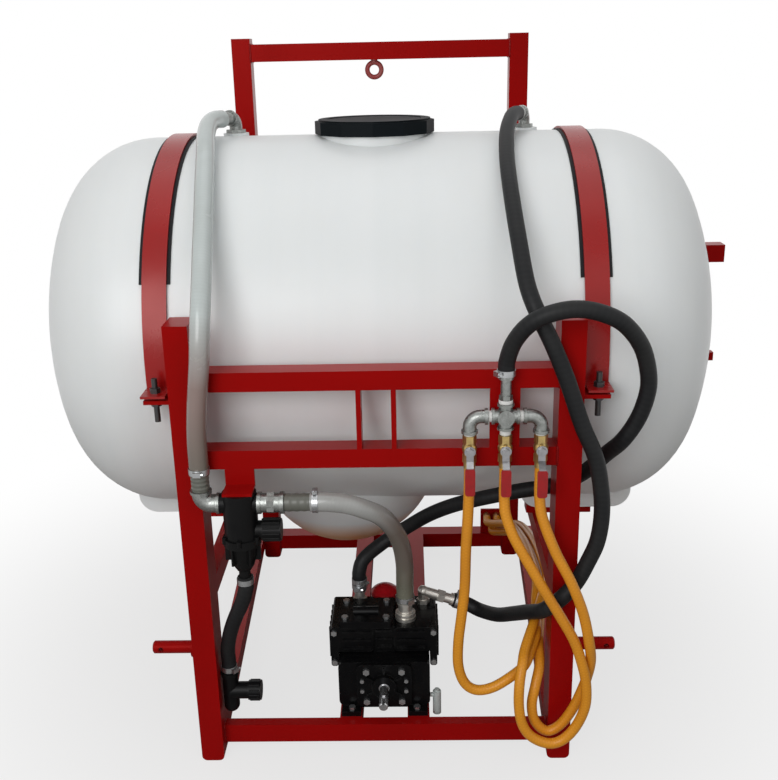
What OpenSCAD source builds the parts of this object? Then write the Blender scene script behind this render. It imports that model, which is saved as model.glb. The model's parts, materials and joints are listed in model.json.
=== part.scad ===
// Three-point mounted field sprayer: tube frame, saddle tank, suction line, pump and section valves.
// Millimetres. X to the right, Y away from the front face, Z up from the ground.

/* [Frame] */
// Width over the front posts
frame_w = 825; // [700:5:990]
// How far each rear post stands in from the front post beside it
rear_inset = 15; // [0:1:40]
// Width of the post and rail tubes
post_w = 50; // [40:1:60]
// Depth of the front post tubes
front_post_d = 75; // [60:1:90]
// Wall of the frame tubes
tube_wall = 4; // [3:0.5:6]
// Height of the front posts
front_post_h = 1013; // [955:2:1225]
// Height of the rear posts
rear_post_h = 1550; // [1455:5:1875]
// Depth of the front cross bars
bar_d = 50; // [40:1:60]
// Height of the front cross bars
bar_h = 40; // [30:1:50]
// Depth of the front bottom bar, which stands back from the front of the posts
bottom_bar_d = 25; // [20:1:50]
// Top of the front upper bar
upper_bar_top = 917; // [875:1:975]
// Top of the front lower bar
lower_bar_top = 752; // [715:1:795]
// Top of the bottom bars and floor rails
floor_top = 75; // [65:1:115]
// Height of the bottom bars and floor rails
floor_h = 45; // [35:1:55]
// Height of the arch bar
arch_h = 45; // [35:1:55]
// Length of the rear rails
rear_rail_l = 1948; // [1500:4:2360]
// Centre height of the upper rear rail
upper_rail_z = 937; // [905:1:975]
// Centre height of the lower rear rail
lower_rail_z = 627; // [575:1:675]
// Side of the lower rear rail
lower_rail_w = 25; // [20:1:32]
// Distance between the pump rails, centre to centre
pump_rail_gap = 154; // [140:2:190]

/* [Linkage] */
// Diameter of the lower link pins
pin_d = 28; // [22:0.5:30]
// Free length of the lower link pins
pin_l = 94; // [80:1:120]
// Height of the lower link pins
pin_z = 273; // [225:1:335]
// Diameter of the linch pin hole
linch_d = 12; // [8:0.5:14]
// Gap between the top link plates
clevis_gap = 60; // [50:1:80]
// Thickness of the top link plates
clevis_t = 10; // [8:1:14]
// Bore for the top link pin
clevis_bore = 25.7; // [19:0.1:32]

/* [Tank] */
// Radius of the tank
tank_r = 438; // [340:1:540]
// Length of the tank over its domed ends
tank_len = 1548; // [1300:2:1860]
// Wall of the tank
tank_wall = 6; // [4:0.5:10]
// Radius where the domed end meets the barrel
knuckle_r = 208; // [150:1:260]
// Radius of the middle of the domed end
crown_r = 772; // [640:1:950]
// Gap between the tank and the posts
tank_gap = 5.5; // [3:0.5:20]
// Height of the shelf that carries the tank
shelf_top = 445; // [415:1:535]
// How far the moulded feet reach below the barrel
foot_drop = 9; // [5:0.5:20]
// Depth of the sump below the barrel
sump_drop = 142; // [100:1:180]
// Radius of the filler neck
neck_r = 126; // [90:1:150]
// Height of the filler neck above the barrel
neck_h = 26; // [20:1:40]
// Width of the tank straps
strap_w = 50; // [40:1:60]
// Thickness of the tank straps
strap_t = 5; // [4:0.5:8]
// Thickness of the strap padding
pad_t = 3; // [2:0.5:6]

/* [Plumbing] */
// Outer diameter of the suction hose
suction_d = 40; // [32:1:44]
// Outer diameter of the pressure and return hoses
pressure_d = 33; // [26:1:36]
// Outer diameter of the spray hoses
spray_d = 22; // [16:1:23]
// Outer diameter of the drain hose
drain_d = 32; // [22:1:32]
// Distance between neighbouring section valves
valve_gap = 70.5; // [66:0.5:90]
// Length of a valve lever from its stem
lever_l = 91; // [70:1:91]
// Height of the suction filter ports
port_z = 647; // [625:1:675]

/* [Pump] */
// Diameter of the pump shaft
shaft_d = 20; // [16:1:25]
// Free length of the pump shaft in front of its cover
shaft_free = 70; // [40:1:90]
// Height of the shaft above the pump rails
shaft_up = 74; // [66:1:80]
// Radial clearance of turning parts
run_gap = 0.06; // [0.02:0.01:0.1]
// Gap between parts that are not fixed to each other
slip_gap = 0.4; // [0.3:0.05:1]

/* [Hidden] */
$fn = 48;

red = [0.62, 0.05, 0.05];
steel = [0.70, 0.71, 0.72];
black = [0.10, 0.10, 0.11];
brass = [0.78, 0.62, 0.30];
white = [0.90, 0.92, 0.92];
grey = [0.60, 0.63, 0.63];
yellow = [0.88, 0.58, 0.10];

// Frame lines
frame_d = front_post_d + post_w + 2 * (tank_r + tank_gap);
front_y = -frame_d / 2;
front_back_y = front_y + front_post_d;
rear_y = frame_d / 2;
rear_front_y = rear_y - post_w;
out_x = frame_w / 2;
in_x = out_x - post_w;
rear_out_x = out_x - rear_inset;
rear_in_x = rear_out_x - post_w;
foot_h = 25;
foot_round = 12;
cap_t = 4;
floor_z = floor_top - floor_h;
rail_mid = 8;
arch_top = rear_post_h - 15;
arch_y = (rear_front_y + rear_y) / 2;
eye_x = -16;
eye_ring_r = 19;
eye_wire_r = 6.5;
eye_stem_r = 9;
eye_z = arch_top - arch_h - eye_ring_r - eye_wire_r - 1;
clevis_z = (upper_bar_top - bar_h + lower_bar_top) / 2;
pin_y = front_y + front_post_d / 2;

// Tank lines
tank_y = (front_back_y + rear_front_y) / 2;
tank_z = shelf_top + foot_drop + tank_r;
tank_top = tank_z + tank_r;
crown_back = sqrt(pow(crown_r - knuckle_r, 2) - pow(tank_r - knuckle_r, 2));
barrel_l = tank_len / 2 + crown_back - crown_r;
tank_foot_in = in_x - 30;
tank_foot_out = barrel_l + 83;
tank_foot_w = 304;
sump_r = 230;
sump_x = -95;
filler_x = -5;
neck_top = tank_top + neck_h;
lid_r = 138;
lid_low = tank_top + 2.5;
lid_top = neck_top + 9;
boss_r = 30;
boss_top = tank_top + 3;
fitting_y = tank_y + 70;
suction_fit_x = -338;
return_fit_x = 348;
fit_bend = 22;
fit_z = boss_top + 36;
suction_fit_dir = [-0.35, -0.94, 0];
return_fit_dir = [-0.35, -0.94, 0];
suction_reach = 62;
return_reach = 62;
shelf_h = 20;
cradle_h = 45;
cradle_in = max(in_x, rear_in_x) + 2.5;
cradle_out = min(out_x, rear_out_x) - 2.5;
shelf_out = out_x + 95;

// Strap lines
strap_x = out_x + 10 + strap_w / 2;
strap_in = tank_r + pad_t + slip_gap;
strap_out = strap_in + strap_t;
lug_l = 58;
lug_z = tank_z - 32;
tab_top = lug_z - 5;
tab_t = 8;
tab_w = 50;
bolt_r = 6;
bolt_reach = strap_out + 31;

// Suction line and filter
elbow_r = 19;
line_y = front_y - max(suction_d / 2, elbow_r + 1) - 2;
elbow_x = -in_x + 4.5;
elbow_top = port_z + 30;
tail_l = 33;
suction_end = elbow_top + tail_l;
filter_x = -281;
filter_r = 37;
filter_top = port_z + 25;
filter_low = port_z - 82;
bowl_low = filter_low - 68;
drain_top = bowl_low - 17;
branch_z = port_z - 60;
socket_end = filter_x + filter_r + 54;
outlet_end = socket_end + 53;
bracket_t = 6;
bracket_w = 60;

// Drain line
drain_r = 19.5;
drain_x = -(in_x - slip_gap - drain_r);
drain_y = pin_y;
drain_neck = 210;
drain_low = 125;
drain_out_z = 160;

// Pump lines
pump_y = front_y + bar_d + 28;
crank_half = 104;
pump_foot_x = 74;
head_in = 24;
head_out = 122;
crank_back = pump_y + 248;
crank_top = floor_top + 126;
shaft_z = floor_top + shaft_up;
cover_t = 12;
boss_l = 12;
journal_r = shaft_d / 2 + 2;
diaphragm_t = 4;
head_low = crank_top + diaphragm_t;
head_top = head_low + 62;
head_front = pump_y + 38;
head_back = pump_y + 178;
block_top = head_top + 18;
inlet_x = 50;
inlet_y = pump_y + 80;
inlet_end = head_top + 44;
outlet_x = -58;
outlet_y = pump_y + 156;
outlet_top = head_top + 33;
return_x = 92;
return_y = pump_y + 150;
return_z = head_top + 30;
return_dir = [0.945, 0, -0.328];
return_l = 75;

// Manifold lines
manifold_x = 255;
manifold_y = front_y - 25;
manifold_z = 828;
pipe_r = 10.5;
fitting_r = 13.5;
bead_r = 16.5;
bend_r = 22;
valve_top = 789;
valve_low = 732;
stem_z = 761;
valve_r = 12.5;
stem_r = 5;
bonnet_r = 9;
bonnet_y = manifold_y - 18;
grip_t = 5;
grip_step = grip_t + 1.5;
inlet_tail_top = 911;
tail_low = 720;

// Rear coupling plate
plate_y = rear_front_y + 6;
coupling_l = 22;
couplings = [[300, 135], [330, 135], [315, 105]];

// Hose routes
suction_upper_route = [
    [-360, 24, 1369], [-371, -5.5, 1369], [-377, -50, 1361], [-372, -120, 1341], [-362, -190, 1313],
    [-351, -285, 1259], [-343, -360, 1203], [-338, -425, 1141], [-333, -490, 1075], [-334, -526, 1010],
    [-338, -534, 950], [-346, -534, 890], [-353, -531, 835], [-357, -529, 785], [-358, -528, 740],
    [-358, -528, 710]
];
suction_lower_route = [
    [-137, -528, 647], [-105, -528, 647], [-65, -526, 641], [-32, -515, 625], [3, -488, 595],
    [28, -448, 545], [44, -405, 483], [50, -370, 420], [50, -352, 365], [50, -348, 335], [50, -348, 311]
];
drain_route = [
    [-281, -528, 480], [-281, -528, 466], [-281, -528, 452], [-292, -521, 415], [-312, -506, 370],
    [-330, -489, 320], [-341, -474, 273], [-342.6, -468.5, 237], [-342.6, -468.5, 223],
    [-342.6, -468.5, 210]
];
return_route = [
    [163, -278, 272.4], [181, -278, 266.2], [199, -279, 260], [228, -296, 253], [262, -345, 271],
    [293, -405, 310], [317, -460, 347], [341, -512, 381], [373, -531, 417], [406, -532, 458],
    [430, -532, 509], [446, -535, 557], [452, -535, 617], [447, -535, 677], [433, -535, 742],
    [404, -535, 810], [373, -535, 899], [341, -534, 976], [315, -524, 1029], [296, -490, 1081],
    [285, -420, 1159], [279, -330, 1231], [279, -230, 1289], [288, -120, 1335], [303, -45, 1361],
    [315, -5.5, 1369], [326, 24, 1369]
];
pressure_route = [
    [-58, -272, 300], [-58, -272, 323], [-58, -272, 347], [-46, -263, 376], [0, -242, 407],
    [58, -245, 449], [111, -280, 498], [166, -325, 542], [229, -365, 577], [304, -388, 603],
    [364, -393, 615], [417, -398, 636], [448, -420, 670], [472, -452, 713], [495, -490, 757],
    [518, -507, 807], [531, -517, 859], [531, -524, 904], [511, -540, 967], [470, -562, 1019],
    [420, -577, 1046], [370, -582, 1054], [320, -579, 1042], [288, -566, 1018], [266, -547, 981],
    [256, -534, 943], [255, -531, 925], [255, -531, 911]
];
spray_left_route = [
    [184.5, -531, 720], [184.5, -531, 690], [182, -533, 615], [178, -535, 538], [176, -535, 454],
    [170, -535, 389], [163, -535, 322], [163, -535, 263], [176, -535, 221], [201, -535, 202],
    [236, -533, 206], [275, -525, 226], [308, -505, 243], [326, -475, 265], [341, -440, 288],
    [347, -365, 309], [358, -290, 328], [360, -200, 322], [357, -20, 296], [346, 180, 239],
    [318, 330, 170], [300, 410, 135], [300, 440, 135]
];
spray_middle_route = [
    [255, -531, 720], [255, -531, 690], [255, -534, 651], [258, -541, 618], [275, -553, 572],
    [308, -563, 512], [339, -567, 456], [371, -568, 400], [401, -568, 343], [420, -568, 286],
    [430, -568, 239], [431, -568, 184], [414, -568, 133], [387, -568, 98], [356, -568, 88],
    [320, -567, 104], [299, -566, 135], [291, -563, 178], [292, -554, 227], [300, -532, 263],
    [309, -500, 281], [336, -440, 315], [362, -365, 333], [383, -290, 329], [386, -200, 322],
    [383, -20, 296], [372, 180, 239], [346, 330, 170], [330, 410, 135], [330, 440, 135]
];
spray_right_route = [
    [325.5, -531, 720], [325.5, -531, 690], [326, -535, 649], [332, -543, 611], [357, -558, 545],
    [390, -569, 480], [416, -573, 412], [431, -573, 345], [441, -552, 285], [437, -541, 237],
    [428, -537, 200], [410, -537, 153], [385, -536, 112], [356, -536, 96], [330, -536, 121],
    [322, -534, 163], [331, -522, 207], [342, -492, 237], [346, -440, 261], [358, -365, 281],
    [370, -290, 301], [373, -200, 297], [370, -20, 271], [359, 180, 214], [332, 330, 143],
    [315, 410, 105], [315, 440, 105]
];

// Basic shapes
module box(a, b) {
    translate(a) cube(b - a);
}

module tube_x(a, b) {
    difference() {
        box(a, b);
        box([a.x - 1, a.y + tube_wall, a.z + tube_wall], [b.x + 1, b.y - tube_wall, b.z - tube_wall]);
    }
}

module tube_y(a, b) {
    difference() {
        box(a, b);
        box([a.x + tube_wall, a.y - 1, a.z + tube_wall], [b.x - tube_wall, b.y + 1, b.z - tube_wall]);
    }
}

module tube_z(a, b) {
    difference() {
        box(a, b);
        box([a.x + tube_wall, a.y + tube_wall, a.z - 1], [b.x - tube_wall, b.y - tube_wall, b.z + 1]);
    }
}

module along(p, d) {
    translate(p) rotate([0, acos(d.z / norm(d)), atan2(d.y, d.x)]) children();
}

module rod(p, d, r, l) {
    along(p, d) cylinder(r = r, h = l);
}

module hex(p, d, r, l) {
    along(p, d) cylinder(r = r, h = l, $fn = 6);
}

// A flat outline drawn in X and Z, reaching from y0 to y1
module slab_y(y0, y1) {
    translate([0, y1, 0]) rotate([90, 0, 0]) linear_extrude(y1 - y0) children();
}

// A flat outline drawn in Y and Z, reaching from x0 to x1
module slab_x(x0, x1) {
    translate([x0, 0, 0]) rotate([90, 0, 90]) linear_extrude(x1 - x0) children();
}

// A rectangle from a to b with rounded corners
module soft_rect(a, b, r) {
    translate([a.x + r, a.y]) square([b.x - a.x - 2 * r, b.y - a.y]);
    translate([a.x, a.y + r]) square([b.x - a.x, b.y - a.y - 2 * r]);
    for (x = [a.x + r, b.x - r], y = [a.y + r, b.y - r])
        translate([x, y]) circle(r);
}

module both_sides() {
    children();
    mirror([1, 0, 0]) children();
}

// Hoses
function unit(v) = v / norm(v);
function curve(a, b, c, d, t) = 0.5 * (2 * b + (c - a) * t + (2 * a - 5 * b + 4 * c - d) * t * t
    + (3 * b - a - 3 * c + d) * t * t * t);
function before(p, i) = i > 0 ? p[i - 1] : 2 * p[0] - p[1];
function after(p, i) = i < len(p) - 2 ? p[i + 2] : 2 * p[i + 1] - p[i];
function smooth(p, n) = concat(
    [for (i = [0 : len(p) - 2]) for (k = [0 : n - 1])
        curve(before(p, i), p[i], p[i + 1], after(p, i), k / n)],
    [p[len(p) - 1]]);
function heading(p, q, i) = i == 0 ? unit(q[1] - q[0])
    : i == len(p) - 1 ? unit(q[len(q) - 1] - q[len(q) - 2]) : unit(p[i + 1] - p[i - 1]);
function side_start(t) = unit(cross(t, abs(t.z) < 0.9 ? [0, 0, 1] : [1, 0, 0]));
function square_to(v, t) = unit(v - (v * t) * t);

module hose(route, d, steps = 2, sides = 10) {
    p = smooth(route, steps);
    last = len(p) - 1;
    t = [for (i = [0 : last]) heading(p, route, i)];
    n = [for (i = 0, v = side_start(t[0]); i <= last; i = i + 1, v = i <= last ? square_to(v, t[i]) : v) v];
    points = [for (i = [0 : last]) for (k = [0 : sides - 1])
        p[i] + d / 2 * (cos(360 * k / sides) * n[i] + sin(360 * k / sides) * cross(t[i], n[i]))];
    skin = [for (i = [0 : last - 1]) for (k = [0 : sides - 1]) for (h = [0, 1])
        h == 0
            ? [i * sides + k, (i + 1) * sides + k, (i + 1) * sides + (k + 1) % sides]
            : [i * sides + k, (i + 1) * sides + (k + 1) % sides, i * sides + (k + 1) % sides]];
    start = [for (k = [1 : sides - 2]) [0, k, k + 1]];
    finish = [for (k = [1 : sides - 2]) [last * sides, last * sides + k + 1, last * sides + k]];
    polyhedron(points = points, faces = concat(start, skin, finish));
}

module clamp(p, d, hose_d, turn = 0) {
    inner = hose_d / 2 + slip_gap;
    along(p, d) rotate([0, 0, turn]) {
        difference() {
            union() {
                cylinder(r = inner + 1.4, h = 12);
                box([inner, -8, 1], [inner + 8, 8, 11]);
            }
            translate([0, 0, -1]) cylinder(r = inner, h = 14);
        }
        translate([inner + 4.5, 8, 6]) rotate([-90, 0, 0]) cylinder(r = 3.5, h = 5, $fn = 6);
    }
}

// Frame
module post(x0, x1, y0, y1, top) {
    color(red) tube_z([x0, y0, foot_h], [x1, y1, top - cap_t]);
}

module front_post_left() {
    post(-out_x, -in_x, front_y, front_back_y, front_post_h);
}

module front_post_right() {
    post(in_x, out_x, front_y, front_back_y, front_post_h);
}

module rear_post_left() {
    post(-rear_out_x, -rear_in_x, rear_front_y, rear_y, rear_post_h);
}

module rear_post_right() {
    post(rear_in_x, rear_out_x, rear_front_y, rear_y, rear_post_h);
}

module front_bar(top, h) {
    color(red) tube_x([-in_x, front_y, top - h], [in_x, front_y + bar_d, top]);
}

module front_upper_bar() {
    front_bar(upper_bar_top, bar_h);
}

module front_lower_bar() {
    front_bar(lower_bar_top, bar_h);
}

module front_bottom_bar() {
    back = front_y + bar_d;
    color(red) tube_x([-in_x, back - bottom_bar_d, floor_z], [in_x, back, floor_top]);
}

module rear_bottom_bar() {
    color(red) tube_x([-rear_in_x, rear_front_y, floor_z], [rear_in_x, rear_y, floor_top]);
}

module arch_bar() {
    color(red) tube_x([-rear_in_x, rear_front_y, arch_top - arch_h], [rear_in_x, rear_y, arch_top]);
}

// The side rails spread outward so that they pass outside the rear posts
module side_rail_outline(inset, tail) {
    polygon([
        [in_x + inset, front_back_y],
        [rear_out_x + inset, rear_front_y], [rear_out_x + inset, rear_y - tail],
        [rear_out_x + post_w - inset, rear_y - tail], [rear_out_x + post_w - inset, rear_front_y],
        [out_x - inset, front_back_y]
    ]);
}

module floor_rails() {
    color(red) both_sides() {
        difference() {
            translate([0, 0, floor_z]) linear_extrude(floor_h) side_rail_outline(0, 0);
            translate([0, 0, floor_z + tube_wall]) linear_extrude(floor_h - 2 * tube_wall)
                side_rail_outline(tube_wall, tube_wall);
        }
        tube_y([pump_rail_gap / 2 - post_w / 2, front_y + bar_d, floor_z],
            [pump_rail_gap / 2 + post_w / 2, rear_front_y, floor_top]);
    }
}

module tank_cradles() {
    low = shelf_top - shelf_h - cradle_h;
    color(red) both_sides() {
        tube_y([cradle_in, front_back_y, low], [cradle_out, rear_front_y, low + cradle_h]);
        for (side = [-1, 1]) {
            y = tank_y + side * (tank_foot_w / 2 - 32);
            box([cradle_in - 15, y - 20, shelf_top - shelf_h], [shelf_out, y + 20, shelf_top]);
        }
    }
}

module rear_rails() {
    left = rail_mid - rear_rail_l / 2;
    right = rail_mid + rear_rail_l / 2;
    color(red) {
        tube_x([left, rear_y, upper_rail_z - post_w / 2],
            [right, rear_y + post_w, upper_rail_z + post_w / 2]);
        box([left + 8, rear_y, lower_rail_z - lower_rail_w / 2],
            [right - 8, rear_y + lower_rail_w, lower_rail_z + lower_rail_w / 2]);
    }
}

module top_link_plates() {
    color(red) both_sides() difference() {
        box([clevis_gap / 2, front_y, lower_bar_top],
            [clevis_gap / 2 + clevis_t, front_y + bar_d, upper_bar_top - bar_h]);
        rod([clevis_gap / 2 - 1, front_y + bar_d / 2, clevis_z], [1, 0, 0], clevis_bore / 2, clevis_t + 2);
    }
}

// Plate and saddle of the manifold, hanger of the filter, coupling plate and the four strap tabs
module frame_brackets() {
    color(red) {
        box([manifold_x - 29, front_y, lower_bar_top],
            [manifold_x + 31, front_y + 8, upper_bar_top - bar_h]);
        box([manifold_x - 15, front_y - 8, manifold_z - 15], [manifold_x + 15, front_y, manifold_z + 15]);
        box([filter_x - bracket_w / 2, front_y, filter_top],
            [filter_x + bracket_w / 2, front_y + bracket_t, lower_bar_top - bar_h]);
        box([filter_x - bracket_w / 2, line_y - 26, filter_top],
            [filter_x + bracket_w / 2, front_y, filter_top + bracket_t]);
        difference() {
            box([couplings[0].x - 18, plate_y, floor_top],
                [rear_in_x, plate_y + bracket_t, couplings[0].y + 20]);
            for (c = couplings)
                rod([c.x, plate_y - 1, c.y], [0, 1, 0], 7 + slip_gap, bracket_t + 2);
        }
        both_sides() {
            strap_tab(out_x, -1);
            strap_tab(rear_out_x, 1);
        }
    }
}

module strap_tab(x, side) {
    y = tank_y + side * bolt_reach;
    difference() {
        box([x, y - tab_w / 2, tab_top - tab_t], [strap_x + strap_w / 2 - 5, y + tab_w / 2, tab_top]);
        rod([strap_x, y, tab_top - tab_t - 1], [0, 0, 1], bolt_r + slip_gap, tab_t + 2);
    }
}

module hitch_pins() {
    color(red) both_sides() difference() {
        union() {
            rod([out_x, pin_y, pin_z], [1, 0, 0], pin_d / 2, pin_l - 3);
            along([out_x + pin_l - 3, pin_y, pin_z], [1, 0, 0])
                cylinder(r1 = pin_d / 2, r2 = pin_d / 2 - 3, h = 3);
            rod([out_x, pin_y, pin_z], [1, 0, 0], pin_d / 2 + 8, 8);
        }
        rod([out_x + pin_l - 19, pin_y - pin_d, pin_z], [0, 1, 0], linch_d / 2, 2 * pin_d);
    }
}

module lifting_eye() {
    color(red) {
        translate([eye_x, arch_y, eye_z]) rotate([90, 0, 0])
            rotate_extrude() translate([eye_ring_r, 0]) circle(eye_wire_r);
        rod([eye_x, arch_y, eye_z + eye_ring_r], [0, 0, 1], eye_stem_r,
            arch_top - arch_h - eye_z - eye_ring_r);
    }
}

module foot(x0, x1, y0, y1) {
    slab_y(y0, y1) {
        translate([x0, foot_round]) square([x1 - x0, foot_h - foot_round]);
        translate([x0 + foot_round, 0]) square([x1 - x0 - 2 * foot_round, foot_h]);
        for (x = [x0 + foot_round, x1 - foot_round])
            translate([x, foot_round]) circle(foot_round);
    }
}

module post_ends() {
    color(red) both_sides() {
        foot(in_x, out_x, front_y, front_back_y);
        foot(rear_in_x, rear_out_x, rear_front_y, rear_y);
        box([in_x, front_y, front_post_h - cap_t], [out_x, front_back_y, front_post_h]);
        box([rear_in_x, rear_front_y, rear_post_h - cap_t], [rear_out_x, rear_y, rear_post_h]);
    }
}

// Tank
module tank_outline(inset) {
    centre = barrel_l - crown_back;
    translate([0, -barrel_l]) square([tank_r - inset, 2 * barrel_l]);
    for (end = [0, 1]) mirror([0, end, 0]) {
        intersection() {
            translate([tank_r - knuckle_r, barrel_l]) circle(knuckle_r - inset);
            translate([0, centre]) square(2 * crown_r);
        }
        intersection() {
            translate([0, centre]) circle(crown_r - inset, $fn = 96);
            polygon([
                [0, centre], [4 * (tank_r - knuckle_r), centre + 4 * crown_back], [0, centre + 2 * crown_r]
            ]);
        }
    }
}

module tank_form(inset) {
    translate([0, tank_y, tank_z]) rotate([0, 90, 0]) rotate_extrude($fn = 96) tank_outline(inset);
    translate([sump_x, tank_y, tank_z - tank_r - sump_drop + sump_r]) sphere(sump_r - inset);
    both_sides() slab_y(tank_y - tank_foot_w / 2 + inset, tank_y + tank_foot_w / 2 - inset)
        soft_rect([tank_foot_in + inset, shelf_top + inset],
            [tank_foot_out - inset, shelf_top + 170], 45 - inset);
}

module tank() {
    color(white) difference() {
        union() {
            tank_form(0);
            rod([filler_x, tank_y, tank_top - 40], [0, 0, 1], neck_r, neck_h + 40);
            for (x = [suction_fit_x, return_fit_x])
                rod([x, fitting_y, tank_top - 40], [0, 0, 1], boss_r, boss_top - tank_top + 40);
        }
        tank_form(tank_wall);
        rod([filler_x, tank_y, tank_top - 60], [0, 0, 1], neck_r - 8, neck_h + 80);
    }
}

module lid() {
    color(black) difference() {
        union() {
            rod([filler_x, tank_y, lid_low], [0, 0, 1], lid_r - 9, lid_top - lid_low);
            along([filler_x, tank_y, lid_low], [0, 0, 1])
                cylinder(r = lid_r, h = lid_top - lid_low - 4, $fn = 12);
        }
        rod([filler_x, tank_y, lid_low - 1], [0, 0, 1], neck_r + 1.5, neck_top + 3 - lid_low + 1);
        rod([filler_x, tank_y, lid_top - 1.5], [0, 0, 1], lid_r - 30, 2);
    }
}

module lid_seal() {
    color(black) difference() {
        rod([filler_x, tank_y, neck_top + slip_gap], [0, 0, 1], neck_r, 3 - slip_gap);
        rod([filler_x, tank_y, neck_top - 1], [0, 0, 1], neck_r - 9, 6);
    }
}

// An elbow that stands on the tank and turns its hose end to the side
module tank_elbow(x, d, r, reach) {
    translate([x, fitting_y, 0]) rotate([0, 0, atan2(d.y, d.x)]) {
        hex([0, 0, boss_top], [0, 0, 1], r + 8, 8);
        rod([0, 0, boss_top], [0, 0, 1], r, fit_z - fit_bend - boss_top);
        translate([fit_bend, 0, fit_z - fit_bend]) rotate([90, 0, 0]) rotate([0, 0, 90])
            rotate_extrude(angle = 90) translate([fit_bend, 0]) circle(r);
        rod([fit_bend, 0, fit_z], [1, 0, 0], r, reach - fit_bend);
        rod([fit_bend, 0, fit_z], [1, 0, 0], r + 3, 7);
        rod([reach - 6, 0, fit_z], [1, 0, 0], r + 3, 6);
    }
}

module tank_fittings() {
    color(steel) {
        tank_elbow(suction_fit_x, suction_fit_dir, 15, suction_reach);
        tank_elbow(return_fit_x, return_fit_dir, 13, return_reach);
    }
}

module strap_arc(r, t, w, from, sweep) {
    translate([strap_x, tank_y, tank_z]) rotate([90, 0, 90]) rotate([0, 0, from])
        rotate_extrude(angle = sweep, $fn = 96) translate([r, -w / 2]) square([t, w]);
}

module strap_leg(side) {
    near = tank_y + side * strap_in;
    far = tank_y + side * strap_out;
    tip = far + side * lug_l;
    difference() {
        union() {
            box([strap_x - strap_w / 2, min(near, far), lug_z],
                [strap_x + strap_w / 2, max(near, far), tank_z]);
            box([strap_x - strap_w / 2, min(near, tip), lug_z],
                [strap_x + strap_w / 2, max(near, tip), lug_z + strap_t]);
        }
        rod([strap_x, tank_y + side * bolt_reach, lug_z - 1], [0, 0, 1], bolt_r + slip_gap, strap_t + 2);
    }
}

module tank_straps() {
    color(red) both_sides() {
        strap_arc(strap_in, strap_t, strap_w, 0, 180);
        strap_leg(-1);
        strap_leg(1);
    }
}

module strap_pads() {
    color(black) both_sides() strap_arc(tank_r + slip_gap / 2, pad_t, strap_w + 14, 24, 132);
}

module strap_bolts() {
    color(steel) both_sides() for (side = [-1, 1]) {
        y = tank_y + side * bolt_reach;
        rod([strap_x, y, tab_top - 52], [0, 0, 1], bolt_r, 92);
        hex([strap_x, y, lug_z + strap_t], [0, 0, 1], 11, 10);
        hex([strap_x, y, tab_top - tab_t - 10], [0, 0, 1], 11, 10);
    }
}

// Suction line
module suction_hose_upper() {
    color(grey) hose(suction_upper_route, suction_d);
}

module suction_elbow() {
    color(steel) {
        translate([elbow_x + bend_r, line_y, port_z + bend_r]) rotate([90, 0, 0]) rotate([0, 0, 180])
            rotate_extrude(angle = 90) translate([bend_r, 0]) circle(elbow_r);
        rod([elbow_x, line_y, port_z + bend_r], [0, 0, 1], elbow_r, elbow_top - port_z - bend_r);
        rod([elbow_x, line_y, elbow_top - 6], [0, 0, 1], elbow_r + 3, 6);
        rod([elbow_x + bend_r, line_y, port_z], [1, 0, 0], elbow_r,
            filter_x - filter_r - 3 - elbow_x - bend_r);
        rod([filter_x - filter_r - 9, line_y, port_z], [1, 0, 0], elbow_r + 3, 6);
    }
}

module ribbed_tail(p, d, r, l) {
    rod(p, d, r - 2, l);
    for (k = [0 : 2])
        rod(p + (k + 0.5) * l / 3.5 * d, d, r, l / 9);
}

module hose_tails() {
    color([0.25, 0.26, 0.28]) {
        ribbed_tail([elbow_x, line_y, elbow_top], [0, 0, 1], suction_d / 2 - 2, tail_l);
        ribbed_tail([socket_end, line_y, port_z], [1, 0, 0], suction_d / 2 - 2, outlet_end - socket_end);
    }
}

module filter_head() {
    color(black) difference() {
        union() {
            rod([filter_x, line_y, filter_low], [0, 0, 1], filter_r - 2, filter_top - filter_low);
            rod([filter_x, line_y, filter_low], [0, 0, 1], filter_r + 2, 9);
            rod([filter_x - filter_r - 3, line_y, port_z], [1, 0, 0], 21, 2 * filter_r + 3);
            rod([filter_x, line_y, branch_z], [1, 0, 0], 16, filter_r + 26);
            rod([filter_x, line_y, branch_z], [1, 0, 0], 19, filter_r + 5);
            box([filter_x - 30, line_y - 24, filter_top - 8], [filter_x + 30, line_y + 20, filter_top]);
            for (a = [30 : 60 : 330])
                rod([filter_x + (filter_r + 1) * cos(a), line_y + (filter_r + 1) * sin(a), filter_low],
                    [0, 0, 1], 5, 14);
        }
        rod([filter_x, line_y, filter_low - 1], [0, 0, 1], 27, filter_top - filter_low - 14);
    }
}

module filter_bowl() {
    color(black) translate([filter_x, line_y, 0]) difference() {
        union() {
            rotate_extrude() polygon([
                [0, bowl_low], [15, bowl_low], [22, bowl_low + 12], [28, bowl_low + 32], [31, filter_low - 8],
                [filter_r + 2, filter_low - 8], [filter_r + 2, filter_low], [0, filter_low]
            ]);
            translate([0, 0, drain_top]) cylinder(r = 12, h = bowl_low - drain_top + 1);
            for (a = [0 : 60 : 300]) rotate([0, 0, a])
                box([20, -2, bowl_low + 22], [filter_r, 2, filter_low - 4]);
        }
        rotate_extrude() polygon([
            [0, bowl_low + 8], [11, bowl_low + 8], [18, bowl_low + 15], [24, bowl_low + 34],
            [27, filter_low - 8],
            [27, filter_low + 1], [0, filter_low + 1]
        ]);
    }
}

module filter_screen() {
    color(steel) difference() {
        rod([filter_x, line_y, bowl_low + 36], [0, 0, 1], 22, filter_top - 15.3 - bowl_low - 36);
        rod([filter_x, line_y, bowl_low + 35], [0, 0, 1], 20, filter_top - bowl_low - 40);
    }
}

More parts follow.
